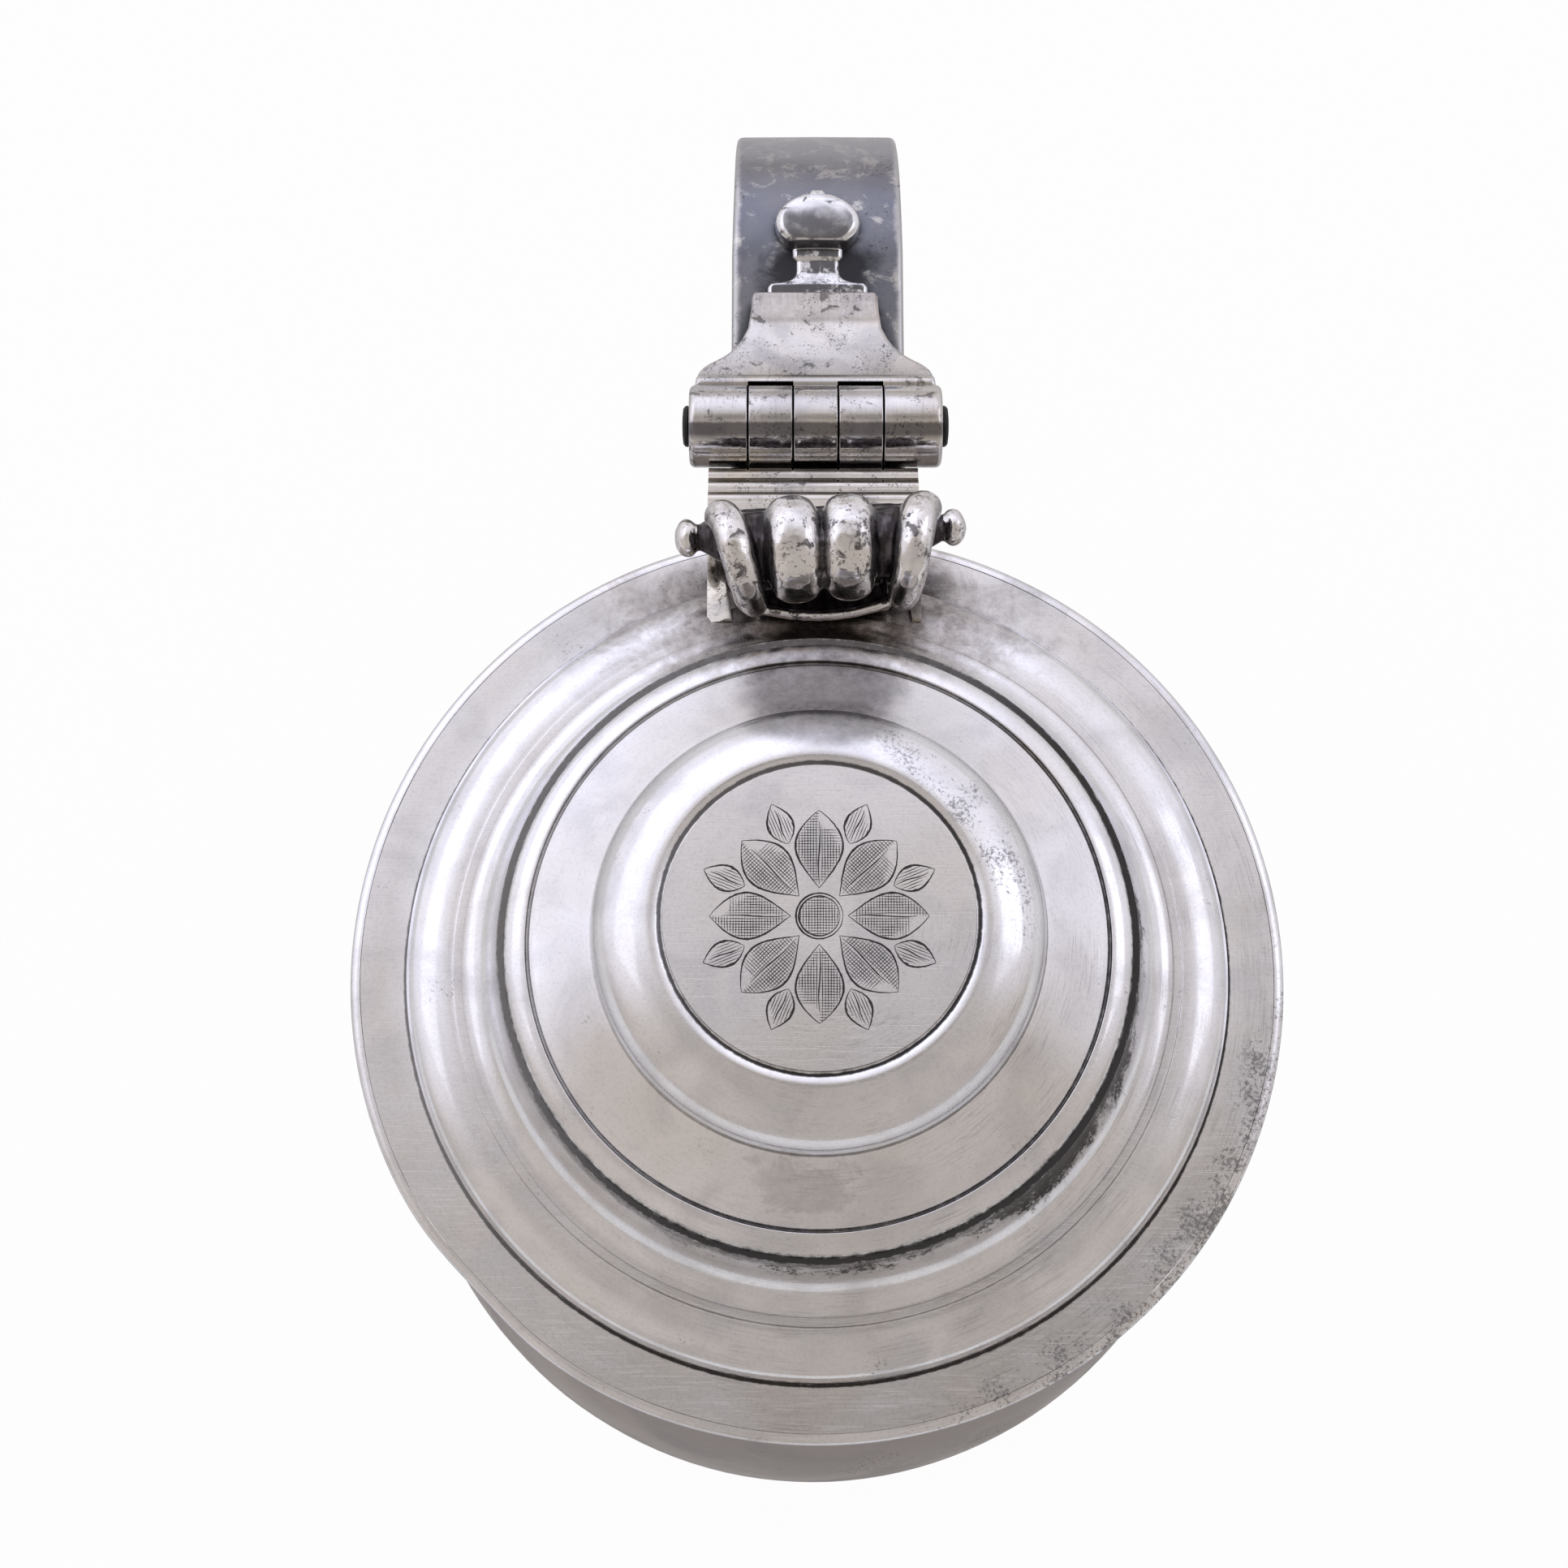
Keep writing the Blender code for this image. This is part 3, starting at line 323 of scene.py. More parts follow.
# old silver, hammered up or cast and then rubbed for centuries: pale cool-white metal with a soft
# mirror, hairlines and polishing streaks, grey film in patches, brown-black sulphide in creases;
# on some pieces the dark marks and films also hold painted shade, shadow and reflection
def silver(name, **changes):
    look = {**silverLook, **changes}
    material, put, shader, inMm = newMaterial(name)
    across, reach, rise = put(parts, inMm).node.outputs
    flat = put(spread, inMm, (1, 1, 0))
    radius = put(length, flat)
    if "turned" in look:  # streaks run round the piece
        turn = put(bearing, reach, across)
        along = put(joined, put(times, radius, 5), put(times, rise, 5), put(times, turn, 8))
    else:  # streaks run along the piece
        along = put(drawn, inMm, Scale=look["strokes"])
    lean = put(smooth, put(dot, inMm, look["lean"]), -35, 32) if "lean" in look else 1.0
    swept = put(times, put(smooth, put(noise, along, 1, 3, 0.6), 0.45, 0.72),
                put(smooth, put(noise, inMm, 1 / 8, 3), 0.42, 0.62, 0.1, 1))
    swept = put(times, swept, put(smooth, lean, 0.4, 1, 0.15, 1))

    film = put(smooth, put(noise, inMm, 1 / look["film"], 5, Distortion=0.8), 0.40, 0.70)
    warmth = put(smooth, put(noise, inMm, 1 / (look["film"] * 1.6), 3), 0.42, 0.66, 0, look["warm"])
    ragged = put(noise, inMm, 1 / 1.1, 6, 0.65)
    grain = put(noise, inMm, 1 / 0.45, 4, 0.75)  # satin pitting, drawn coarser than it is so that it shows
    patchy = put(noise, inMm, 1 / look["patch"], 8, 0.68, Distortion=0.4)

    # sulphide: deep in creases, in ragged patches and in small pits
    hollow = put(("AmbientOcclusion", {"samples": 8}), Distance=look["reach"] * mm, out="AO")
    crease = put(smooth, put(timesPlus, ragged, 0.18, hollow), look["open"] + 0.09, look["shut"] + 0.09)
    if "lean" in look:  # creases thicker towards one side
        crease = put(times, crease, put(smooth, lean, 0, 1, 0.6, 1))
    blotch = put(smooth, patchy, look["blotch"], look["blotch"] + 0.05, 0, look["blotchDepth"])
    jitter = put(shifted, inMm, put(noise, inMm, 3, 3, out="Color"))
    near = put(timesPlus, put(noise, inMm, 1 / 0.9, 1), -0.42, put(cells, jitter, 1 / look["pit"]))
    crowd = put(smooth, put(noise, inMm, 1 / look["cluster"], 4, 0.6), look["clear"], look["clear"] + 0.1)
    pits = put(times, put(smooth, near, 0.10, 0.02), crowd)
    dark = [crease, blotch, put(times, pits, look["pitDepth"])]

    if "rings" in look:  # sulphide in the lid's turned lines, thickest under the collar
        under = put(smooth, rise, 136.0, 138.8, 0.5, 1)
        for where, half, depth, least in look["rings"]:
            off = put(timesPlus, ragged, half * 1.1, put(size, put(minus, radius, where)))
            mark = put(smooth, lean, 0, 0.8, least * depth, depth)
            mark = put(times, put(smooth, off, half * 1.55, half * 0.9), mark)
            dark.append(put(times, mark, under) if half > 0.5 else mark)
        # it spreads over the cove at one side
        spill = put(timesPlus, put(noise, inMm, 1 / 1.5, 8, 0.78), 4.2, radius)
        spill = put(timesPlus, put(noise, inMm, 1 / 7, 3), 4.0, put(timesPlus, grain, 3.0, spill))
        spill = put(minus, spill, put(smooth, put(dot, inMm, (0.93, -0.37, 0)), 25, 37, 0, 0.9))
        spill = put(times, put(smooth, spill, 44.2, 43.2), put(smooth, radius, 37.3, 37.5))
        dark.append(put(times, spill, put(smooth, lean, 0.5, 0.9, 0, 0.95)))
        # specks along the rim's edge and on the shoulder of the dome
        edge = put(times, put(smooth, radius, 50, 57.5), put(smooth, put(dot, inMm, (0.80, -0.60, 0)), 38, 54))
        shoulder = put(times, put(smooth, radius, 18.6, 20.5), put(smooth, radius, 26, 23))
        shoulder = put(times, shoulder, put(smooth, put(dot, inMm, (0.84, 0.54, 0)), 15, 21, 0, 0.55))
        edge = put(most, edge, shoulder)
        wear = put(timesPlus, put(noise, inMm, 1 / 5, 4), 0.7, put(timesPlus, edge, 0.12, grain))
        dark.append(put(times, put(smooth, wear, 0.93, 1.09), put(smooth, edge, 0, 0.5, 0, 0.62)))
    if "rubbed" in look:  # high parts rubbed bright, hollows left black with sulphide, the sides of the ribs darkened as painted shade
        rubbed = put(("Attribute", {"attribute_name": look["rubbed"]}), out="Fac")
        dark.append(put(smooth, put(timesPlus, ragged, 0.5, rubbed), 1.05, 0.63))
    if "faces" in look:  # a dark film on faces turned straight up, lighter at their edges; faces turned to the front get painted shade
        facing = put(("NewGeometry", {}), out="Normal")
        even = put(smooth, put(timesPlus, film, 0.25, patchy), 0.40, 0.66, 0.62, look["faces"])
        broken = put(smooth, put(timesPlus, ragged, 0.5, patchy), 0.63, 0.77, 0.08, 0.86)
        veil = put(("Mix", {}), put(smooth, reach, 98.6, 99.4), broken, even)  # even on the ball
        veil = put(times, put(smooth, put(dot, facing, (0, -0.07, 0.997)), 0.94, 0.992), veil)
        # faces turned to the front: painted shade
        dark += [veil, put(smooth, put(dot, facing, (0, -1, 0)), 0.6, 0.85, 0, 0.85)]
    if "halo" in look:  # painted shadow round the drop on the strap, with sulphide left where no cloth reaches
        middle, half = look["halo"]
        off = put(placed, flat, middle, (0, 0, 0), half)
        dark.append(put(smooth, put(timesPlus, patchy, 1.6, put(dot, off, off)), 1.95, 1.2, 0, 0.85))
    # every dark mark together: sulphide, and on some pieces painted shade and shadow
    oxide = reduce(partial(put, most), dark)

    # films over the metal, each a share and a colour
    films = [(warmth, "#cfc4b0"), (put(times, film, look["haze"]), "#8b8b90"),
             (put(times, swept, look["streak"]), "#77757a"),
             (put(smooth, grain, 0.45, 0.75, 0, look["grain"]), "#66656b")]
    if "tip" in look:  # brown film left beyond the fold
        beyond = put(smooth, reach, *look["tip"])
        films.append((put(times, beyond, put(smooth, ragged, 0.3, 0.6, 0.15, 0.45)), "#948b83"))
    if "band" in look:  # painted reflection: a dark band along the front of the barrel, beside the plate, where the thumbpiece is mirrored
        low, high, depth = look["band"]
        turn = put(bearing, put(minus, 71.5, reach), put(minus, rise, 129.4))
        turn = put(timesPlus, ragged, 0.08, turn)
        band = put(smooth, turn, high + 0.04, high - 0.16, 0, depth)
        band = put(times, put(smooth, turn, low - 0.02, low + 0.06), band)
        films.append((put(times, band, put(smooth, reach, 75.5, 74.5)), "#332f38"))
    if "worn" in look:  # dark film rubbed through in patches and paler over the crown; the pale lines along the edges are partly wear, partly a painted highlight
        way, start, full = look["worn"]
        show = put(plus, put(smooth, put(dot, inMm, way), start, full, 0, 0.10), put(timesPlus, ragged, 0.2, patchy))
        show = put(times, put(smooth, show, 0.675, 0.78), put(smooth, rise, 70, 122, 0.2, 0.62))
        crown = put(times, put(smooth, reach, 104, 121), put(smooth, rise, 100, 116, 0, 0.7))
        # pale lines along the edges: partly wear, partly a painted highlight
        aside = put(timesPlus, patchy, 2.4, put(size, put(minus, across, 0.4)))
        films += [(show, "#cfcdc8"), (crown, "#b4b2b6"), (put(smooth, aside, 11.2, 12.1, 0, 0.6), "#d2d0ce")]
    stain = 0.0
    for middle, half, rag, depth, deep, pale in look["stains"]:  # stains where no cloth gets in beside the hinge, some of them a painted reflection of the thumbpiece and hinge
        off = put(length, put(placed, flat, middle + (0,), (0, 0, 0), half + (1,)))
        share = put(smooth, put(timesPlus, patchy, rag, off), 1 + rag / 2, 0.6 + rag / 2, 0, depth)
        films.append((share, put(mix, put(smooth, ragged, 0.4, 0.6), deep, pale)))
        stain = put(most, stain, share)
    sulphide = look["oxide"]
    if "rubbed" in look:
        streaky = put(noise, put(drawn, inMm, Scale=(0.9, 0.4, 0.3)), 1, 3)
        sulphide = put(mix, put(smooth, streaky, 0.42, 0.70), sulphide, "#5f5a5e")
    tone = look["colour"]
    for share, colour in films + [(oxide, sulphide)]:
        tone = put(mix, share, tone, colour)

    # hairline scratches: noise drawn out along two directions
    marks = []
    for swing, run in ((0.5, 9), (2.1, 6)):
        line = put(drawn, inMm, Rotation=(0.3 * swing, 0.2, swing), Scale=(1 / run, 1 / 0.14, 1 / 0.14))
        marks.append(put(smooth, put(noise, line, 1, 1), 0.64, 0.72))
    scratch = put(most, *marks)
    frost = put(noise, inMm, 1 / 0.22, 2)  # satin grain, drawn coarser than it is so that it shows
    rough, height = look["rough"] - 0.07, 0.0
    for part, share in ((film, look["dull"]), (scratch, 0.08), (frost, 0.14), (put(most, oxide, stain), look["soot"])):
        rough = put(timesPlus, part, share, rough)
    for part, share in ((frost, 0.35), (swept, look["stroke"]), (scratch, -0.3), (pits, -0.9)):
        height = put(timesPlus, part, share, height)
    feed(shader, {"Base Color": tone, "Metallic": put(smooth, oxide, 0.2, 1, 1, 0.75), "Roughness": rough,
                  "Normal": put(bump, Strength=look["relief"], Distance=0.04 * mm, Height=height)})
    return material


lidSilver = silver(
    "silver_raised_and_worn", turned=True, colour="#e9e9ec", oxide="#17120f", film=9, warm=0.16, streak=0.32,
    stroke=0.05, grain=0.16, reach=1.5, open=0.54, shut=0.24, lean=(0.8, -0.6, 0), patch=5, blotch=0.74, cluster=9,
    clear=0.60, pitDepth=0.4, rough=0.12, relief=0.18, stains=(
        # brown tarnish beside the plate, partly a painted reflection of the dark hinge and thumbpiece
        ((0.5, 44.0), (32, 14), 1.1, 0.55, "#6d6055", "#9a938c"),
        ((0.5, 46.0), (21, 9.5), 1.0, 0.62, "#54463b", "#8a817a"),
        # grey patches in front of the thumbpiece: a painted reflection of it
        ((0.6, 30.6), (12.0, 7.4), 0.35, 0.68, "#565355", "#757173"),
        ((0.6, 24.4), (11.5, 4.6), 0.5, 0.60, "#5b585a", "#7d797b"),
        ((-1.5, -29.8), (7.0, 3.2), 4.5, 0.24, "#76644f", "#a0958a")), rings=(
        (50.58, 0.34, 0.95, 0.75), (44.3, 0.12, 0.5, 0.2), (43.2, 0.12, 0.4, 0.2), (37.75, 0.75, 0.95, 0.8),
        (34.45, 0.20, 0.9, 0.5), (26.68, 0.13, 0.6, 0.4), (18.5, 0.36, 0.95, 0.85)))
hingeSilver = silver(
    "silver_wrought_and_polished", colour="#d6d4d4", oxide="#1b1716", haze=0.35, streak=0.32, reach=0.8, open=0.52,
    # band: a painted reflection of the thumbpiece on the barrel
    shut=0.22, blotch=0.595, blotchDepth=0.6, pit=0.42, band=(0.32, 0.76, 0.72), dull=0.09, relief=0.14)
leafSilver = silver(
    "silver_wrought_and_brushed", colour="#cdcbca", oxide="#1f1b19", haze=0.42, warm=0.35, streak=0.55, reach=1.0,
    blotch=0.585, blotchDepth=0.65, pit=0.42, tip=(87.0, 88.0), rough=0.08, dull=0.10, relief=0.14)
plateSilver = silver(
    "silver_wrought_and_browned", strokes=(0.12, 3.0, 3.0), colour="#d2cec8", oxide="#1c1511", haze=0.40, warm=0.5,
    streak=0.45, reach=1.0, open=0.52, shut=0.22, blotch=0.60, blotchDepth=0.6, clear=0.47, pit=0.42, rough=0.10,
    relief=0.07)
dropSilver = silver(
    "silver_cut_and_filmed", colour="#e6e6e9", oxide="#2d2c31", film=4, warm=0.12, streak=0.15, reach=1.4, open=0.66,
    # faces: a dark film on upturned faces, and painted shade on faces turned to the front
    shut=0.34, patch=2.6, cluster=4, clear=0.52, pit=0.4, faces=0.82, dull=0.08)
castSilver = silver(
    "silver_cast_and_rubbed", colour="#eae8e8", oxide="#2c272a", film=5, warm=0.22, streak=0.12, reach=2.0,
    # rubbed: bright crests, black hollows and painted shade down the sides of the ribs
    rubbed="rubbed", soot=0.09, patch=2.5, blotchDepth=0.85, cluster=3, pit=0.5, rough=0.07, dull=0.08, relief=0.25)
strapSilver = silver(
    "silver_darkened_by_air", colour="#72757f", oxide="#1e1e22", film=8, haze=0.45, warm=0.04, reach=4.5, open=0.84,
    # halo: a painted shadow round the drop, with some sulphide
    shut=0.42, patch=4, blotch=0.70, cluster=6, clear=0.54, halo=((0.4, 95.2, 0), (8.6, 6.4, 1)),
    # worn: pale patches, a paler crown and pale edge lines that are partly a painted highlight
    worn=((-0.4, 0.92, 0), 86, 116), rough=0.20)
# darker and browner than the lid: partly a tarnish film, partly painted shade for the dark belly
bodySilver = silver(
    "silver_raised_body", turned=True, colour="#9b938c", oxide="#231d1a", film=18, haze=0.4, stroke=0.2, reach=1.6,
    shut=0.32, patch=9, blotch=0.68, cluster=12, clear=0.56, rough=0.15)
print("silver finishes ready")


def dullBlack(name, patch, tones, metal, rough, relief):
    material, put, shader, inMm = newMaterial(name)
    blotch = put(noise, inMm, 1 / patch, 4)
    feed(shader, {"Base Color": put(mix, blotch, *tones), "Metallic": metal,
                  "Roughness": put(("MapRange", {}), blotch, 0, 1, *rough),
                  "Normal": put(bump, Strength=relief, Distance=0.05 * mm, Height=blotch)})
    return material


# blackened iron: drawn pin, burred over at its ends and never polished, so near black and dull
pinBlack = dullBlack("iron_blackened", 0.8, ("#0e0e0f", "#2c2a29"), 0.5, (0.38, 0.6), 0.3)
# cut line: burin stroke filled with old polish and sulphide, so a dull near-black hair on the pale crown
lineBlack = dullBlack("engraved_line_darkened", 2.5, ("#151416", "#3b393c"), 0.4, (0.55, 0.55), 0.0)


# lid: flange, ovolo and cove, then collar, dished slope, dome and flat crown
lid = {
    "rim": 57.45, "wire": 1.25, "flange": (53.5, 0.06), "step": 50.4, "stepRise": 0.9, "ovolo": 3.8, "fillet": 44.3,
    "filletTop": 5.2, "filletWide": 1.1, "cove": 38.2, "coveTop": 13.8, "collar": 37.4, "land": 3.1,
    "slopeFoot": 15.3, "slopeTop": 20.35, "dome": 26.6, "domeFoot": 20.7, "disc": 18.1, "discTop": 26.83,
    "wall": 1.4, "under": -1.6, "dent": (-136, 9, 0.7, 50), "steps": 176}


def lift(line):
    return [(radius, lidTop + rise) for radius, rise in line]


def inward(line, wall):
    return [(radius - wall, rise - wall) for radius, rise in line]


def rimDent(piece):
    # the rim was knocked flat a short way at the front left
    where, wide, deep, inner = lid["dent"]
    for vertex in piece.data.vertices:
        radius = hypot(vertex.co.x, vertex.co.y)
        away = degrees(atan2(vertex.co.y, vertex.co.x)) - where
        if radius > inner * mm:
            pull = deep * mm * exp(-(away / wide) ** 2) * (radius / mm - inner) / 7
            vertex.co.xy *= 1 - pull / radius


def makeSkirt():
    fillet, step, wall, high = lid["fillet"], lid["step"], lid["wall"], lid["coveTop"]
    inner = fillet - lid["filletWide"]
    cove = bow((inner, high), inner - lid["cove"], high - lid["filletTop"], 180, 270, 22)
    ovolo = bow((fillet, lid["stepRise"]), step - fillet, lid["ovolo"], 90, 4, 18)
    edge = lid["rim"] - lid["wire"] - 0.05
    outside = cove + [(fillet, lid["filletTop"])] + ovolo
    top = outside + [(step, 0.0), lid["flange"], (edge, 0.0)]
    inside = inward(outside, wall)
    inside[0] = (lid["cove"] - wall, high)
    under = [(edge, lid["under"]), (step - wall, lid["under"])] + inside[::-1]
    line = soften(top, 0.14) + under + [top[0]]
    piece = turnOnLathe("lid_flange_and_cove", lift(line), lid["steps"])
    handWork(piece, 0.10, 13)
    rimDent(piece)
    dress(piece, "lid", lidSilver, "silver_bright", "lid_skirt")


def makeRim():
    centre = (lid["rim"] - lid["wire"], lid["under"] / 2)
    line = bow(centre, lid["wire"], -lid["under"] / 2 + 0.06, 90, -90, 14)
    piece = turnOnLathe("lid_rolled_rim", lift(line + [line[0]]), lid["steps"])
    rimDent(piece)
    dress(piece, "lid", lidSilver, "silver_bright", "lid_rim_wire")


def makeDome():
    foot, top, wall, disc = lid["collar"] - lid["land"], lid["discTop"], lid["wall"], lid["disc"]
    groove = [(0, top), (9, top), (disc - 0.05, top), (disc, top - 0.5), (disc + 0.25, top - 0.5),
              (disc + 0.8, top - 0.2)]
    shoulder = bow((disc, lid["domeFoot"]), lid["dome"] - disc, top - lid["domeFoot"], 80, 0, 22)
    start, high, low = lid["dome"] + 0.12, lid["slopeTop"], lid["slopeFoot"]
    slope = [(blend(start, foot, share), blend(high, low, share + 0.18 * share * (1 - share)))
             for share in evenly(0, 1, 12)]
    collar = [(foot, 14.95), (foot + 0.35, 14.95), (foot + 0.45, 15.5), (foot + 1.2, 15.35), (foot + 2.0, 15.0),
              (foot + 2.7, 14.5), (lid["collar"], 14.0), (lid["collar"] - 0.05, lid["coveTop"] + 0.1)]
    outside = soften(groove, 0.12) + shoulder + [(lid["dome"], high)] + soften(slope[1:] + collar, 0.16)
    inside = inward(shoulder + slope[:-1], wall)
    line = outside + [(inside[-1][0], lid["coveTop"] + 0.1)] + inside[::-1] + [(0, top - wall)]
    piece = turnOnLathe("lid_dome_and_crown", lift(line), lid["steps"])
    handWork(piece, 0.07, 11)
    for vertex in piece.data.vertices:  # the crown was planished flat
        if vertex.co.z > (lidTop + top - 0.15) * mm and vertex.co.xy.length < disc * mm:
            vertex.co.z = (lidTop + top) * mm
    dress(piece, "lid", lidSilver, "silver_bright", "lid_dome")


makeSkirt()
makeRim()
makeDome()
print("lid turned")


# body: waisted neck, full belly, round bowl; wire round the mouth, coved foot with its wire
body = {
    "height": 126.0, "mouth": 53.0, "neck": 51.4, "neckHeight": 104.0, "belly": 57.0, "bellyHeight": 62.0,
    "base": 30.0, "wall": 1.6, "steps": 144, "lipAt": 124.5, "lip": (1.9, 1.5), "lipFoot": 122, "footWall": 2,
    "footCove": ((45.6, 0.9), 10.6, 12.4), "footEdge": 48.0, "footWire": ((48.1, -14.0), 1.75, 1.68)}


def bodyRadius(height):
    neck, high, low = body["neck"], body["neckHeight"], body["bellyHeight"]
    if height >= high:
        return blend(neck, body["mouth"], ((height - high) / (body["height"] - high)) ** 2)
    return blend(neck, body["belly"], (1 + cos(pi * (height - low) / (high - low))) / 2)


def bodyLine(offset):
    heights = evenly(body["height"], body["bellyHeight"], 32)[:-1]
    bowl = bow((body["base"] + offset, body["bellyHeight"]), body["belly"] - body["base"],
               body["bellyHeight"] + offset, 0, -90, 28)
    return [(bodyRadius(height) + offset, height) for height in heights] + bowl


def makeBody():
    wall = body["wall"]
    line = [(0, wall)] + bodyLine(-wall)[::-1] + bodyLine(0) + [(0, 0)]
    piece = turnOnLathe("body_raised_bowl", line, body["steps"])
    handWork(piece, 0.12, 16)
    dress(piece, "body", bodySilver, "silver_worn", "body_wall")
    seat, low = body["mouth"] + 0.05, body["lipFoot"]
    lip = [(seat, body["height"])] + bow((seat, body["lipAt"]), *body["lip"], 88, -80, 16)
    lip += [(seat + 0.5, low + 0.9), (seat + 0.6, low + 0.3), (bodyRadius(low) - 0.1, low)]
    cove = bow(*body["footCove"], 180, 270, 20)
    under = inward(cove[1:], body["footWall"])
    edge = body["footEdge"]
    foot = soften([(33.0, 0.6)] + cove + [(edge, -11.5), (edge, -16.0), (edge - 4, -16.0)] + under[::-1], 0.3)
    wire = bow(*body["footWire"], 90, -90, 12)
    for name, ring, slot, node in (("body_lip_wire", lip, "silver_bright", "lip_moulding"),
                                   ("foot_coved", foot, "silver_worn", "foot"),
                                   ("foot_edge_wire", wire, "silver_worn", "foot_wire")):
        dress(turnOnLathe(name, ring + [ring[0]], body["steps"]), "body", bodySilver, slot, node)


makeBody()
print("body turned")


# hinge: five knuckles on one pin
barrel = {
    "radius": 5.3, "bore": 2.3, "lengths": (7.4, 5.5, 5.5, 5.5, 7.4), "gap": 0.3, "steps": 72, "endRound": 0.8,
    "round": 0.16, "cap": [(0, 0.95), (1.4, 0.9), (2.3, 0.8), (2.6, 0.55), (2.68, 0.25), (2.5, 0.02), (0, 0.02)]}


def knuckleSpans():
    start = -(sum(barrel["lengths"]) + 4 * barrel["gap"]) / 2
    for long in barrel["lengths"]:
        yield start, start + long
        start += long + barrel["gap"]


def makeKnuckles():
    names = ("handle_knuckle_left", "lid_knuckle_left", "handle_knuckle_centre", "lid_knuckle_right",
             "handle_knuckle_right")
    for i, (name, (start, end)) in enumerate(zip(names, knuckleSpans())):
        start, end = start - (0.05 if i else 0), end + (0.05 if i < 4 else 0)
        near = barrel["endRound" if i == 0 else "round"]
        far = barrel["endRound" if i == 4 else "round"]
        line = [(barrel["bore"], start), (barrel["radius"] - near - 0.02, start)]
        line += bow((barrel["radius"] - near, start + near), near, near, -90, 0, 6)
        line += bow((barrel["radius"] - far, end - far), far, far, 0, 90, 6)
        line += [(barrel["bore"], end), (barrel["bore"], start)]
        piece = turnOnLathe(name + "_turned", line, barrel["steps"], "X", hinge)
        dress(piece, "lid" if i % 2 else "body", hingeSilver, "silver_bright", name)
    half = -next(knuckleSpans())[0]
    for side, name in ((-1, "pin_cap_left"), (1, "pin_cap_right")):
        line = [(radius, side * (half + out)) for radius, out in barrel["cap"]]
        dress(turnOnLathe(name + "_burred", line, 40, "X", hinge), "body", pinBlack, "pin_black", name)


def barrelCutters(parity, clearance, reach):
    radius = barrel["radius"] + clearance
    for i, (start, end) in enumerate(knuckleSpans()):
        if i % 2 == parity:
            start -= 20 if i == 0 else reach
            end += 20 if i == 4 else reach
            line = [(0, start), (radius, start), (radius, end), (0, end)]
            yield turnOnLathe("slot_cutter", line, barrel["steps"], "X", hinge)


makeKnuckles()
print("knuckles turned")


# hinge plate: block on the flange with reeds along the barrel, coped to the lid's mouldings
plate = {
    "width": 26.9, "shift": -0.3, "top": 5.2, "low": -1.5, "front": 43.6, "reed": 2.15, "rise": 0.45,
    "firstReed": 66.2, "strip": -11.4, "lean": 18, "block": (8, 16, 4), "recessWidth": 22.6,
    "recess": [(40, 4.4), (48.6, 4.4), (48.9, 6), (40, 6)]}


def makePlate():
    top, front, low = plate["top"], plate["front"], plate["low"]
    outline = [(hinge.y / mm, low), (hinge.y / mm, 1.0)]
    for i in range(37):  # three soft reeds rising from the barrel
        wave = (1 - cos(2 * pi * i / 12)) / 2
        outline.append((plate["firstReed"] - plate["reed"] * i / 12, 1.1 + 3.5 * i / 36 + plate["rise"] * wave ** 0.6))
    land = outline[-1][0]
    outline += [(land - 0.3, top - 0.1), (front + 0.25, top), (front, top - 0.25), (front, low)]
    piece = drawSolid("hinge_plate_reeded", lift(outline), plate["width"], plate["shift"])
    fillet, high = lid["fillet"], lid["filletTop"] - 0.5
    inner = [(fillet - 1.6, high), (fillet - 0.3, high)]
    inner += bow((fillet - 0.5, lid["stepRise"] - 0.5), 6.1, lid["ovolo"], 90, 0, 16) + [(49.9, -0.5), (57.4, -0.5)]
    envelope = turnOnLathe("lid_cutter", lift([(0, high)] + inner + [(57.4, -9), (0, -9)]), 96)
    # shallow recess in front, left of it a wide strip and right of it a narrow one
    recess = drawSolid("recess_cutter", lift(plate["recess"]), plate["recessWidth"])
    for vertex in recess.data.vertices:
        vertex.co.x += (1.2 - 1.2 * max(0, vertex.co.y / mm - 44) / 5) * mm
    lean = radians(-plate["lean"])  # strip at the left leans outwards
    wedge = addBlock((plate["strip"] + 2 * sin(lean), 50.5, lidTop + top + 2 * cos(lean)), plate["block"], lean)
    cutAway(piece, [envelope, recess, wedge, *barrelCutters(0, 0.6, 0.25), *barrelCutters(1, -0.3, -0.02)])
    dress(piece, "lid", plateSilver, "silver_bright", "hinge_plate")


makePlate()
print("hinge plate cut")


# thumbpiece: cast roll with two fat ribs, two leaning horns, a knob at each end and a lip in front;
# a rib has its places across, its turns, radii and sizes from back to front, and whether it is boxed
thumb = {
    "reach": 50.9, "rise": 12.3, "middle": 0.6, "yaw": 2.5, "core": 4.5, "voxel": 0.22, "blend": 36, "lip": 8.9,
    "ribs": [
        ((-3.7, -3.25), (5, 205), (3.3, 4.5), (3.3, 3.4), True),
        ((3.4, 3.2), (5, 205), (3.4, 4.6), (3.15, 3.25), True),
        ((-12.8, -8.2), (12, 222), (4.1, 7.2), (2.5, 1.95), False),
        ((13.1, 9.3), (8, 222), (3.9, 7.2), (2.75, 1.95), False)],
    "blocks": ((8.2, 44.1, 51.0, 6.3, 7.2), (7.4, 47.6, 55.6, 5.25, 10.0))}


def ribAt(rib, share):
    # across, angle, radius and size of a rib this far along, drawn in at both ends
    sides, turns, radii, sizes, _ = rib
    ends = max(0, abs(share - 0.5) * 2 - 0.62) / 0.38
    thick = blend(*sizes, share) * sqrt(max(0.03, 1 - ends * ends))
    return blend(*sides, share), blend(*turns, share), blend(*radii, share ** 1.3), thick


def ribStations(rib):
    # runs over the roll from the back to the front
    found = []
    for share in evenly(0, 1, 30):
        across, angle, radius, thick = ribAt(rib, share)
        turn = radians(angle)
        found.append((across, thumb["reach"] + radius * cos(turn),
                      lidTop + thumb["rise"] + radius * sin(turn), angle + 90, thick))
    return found


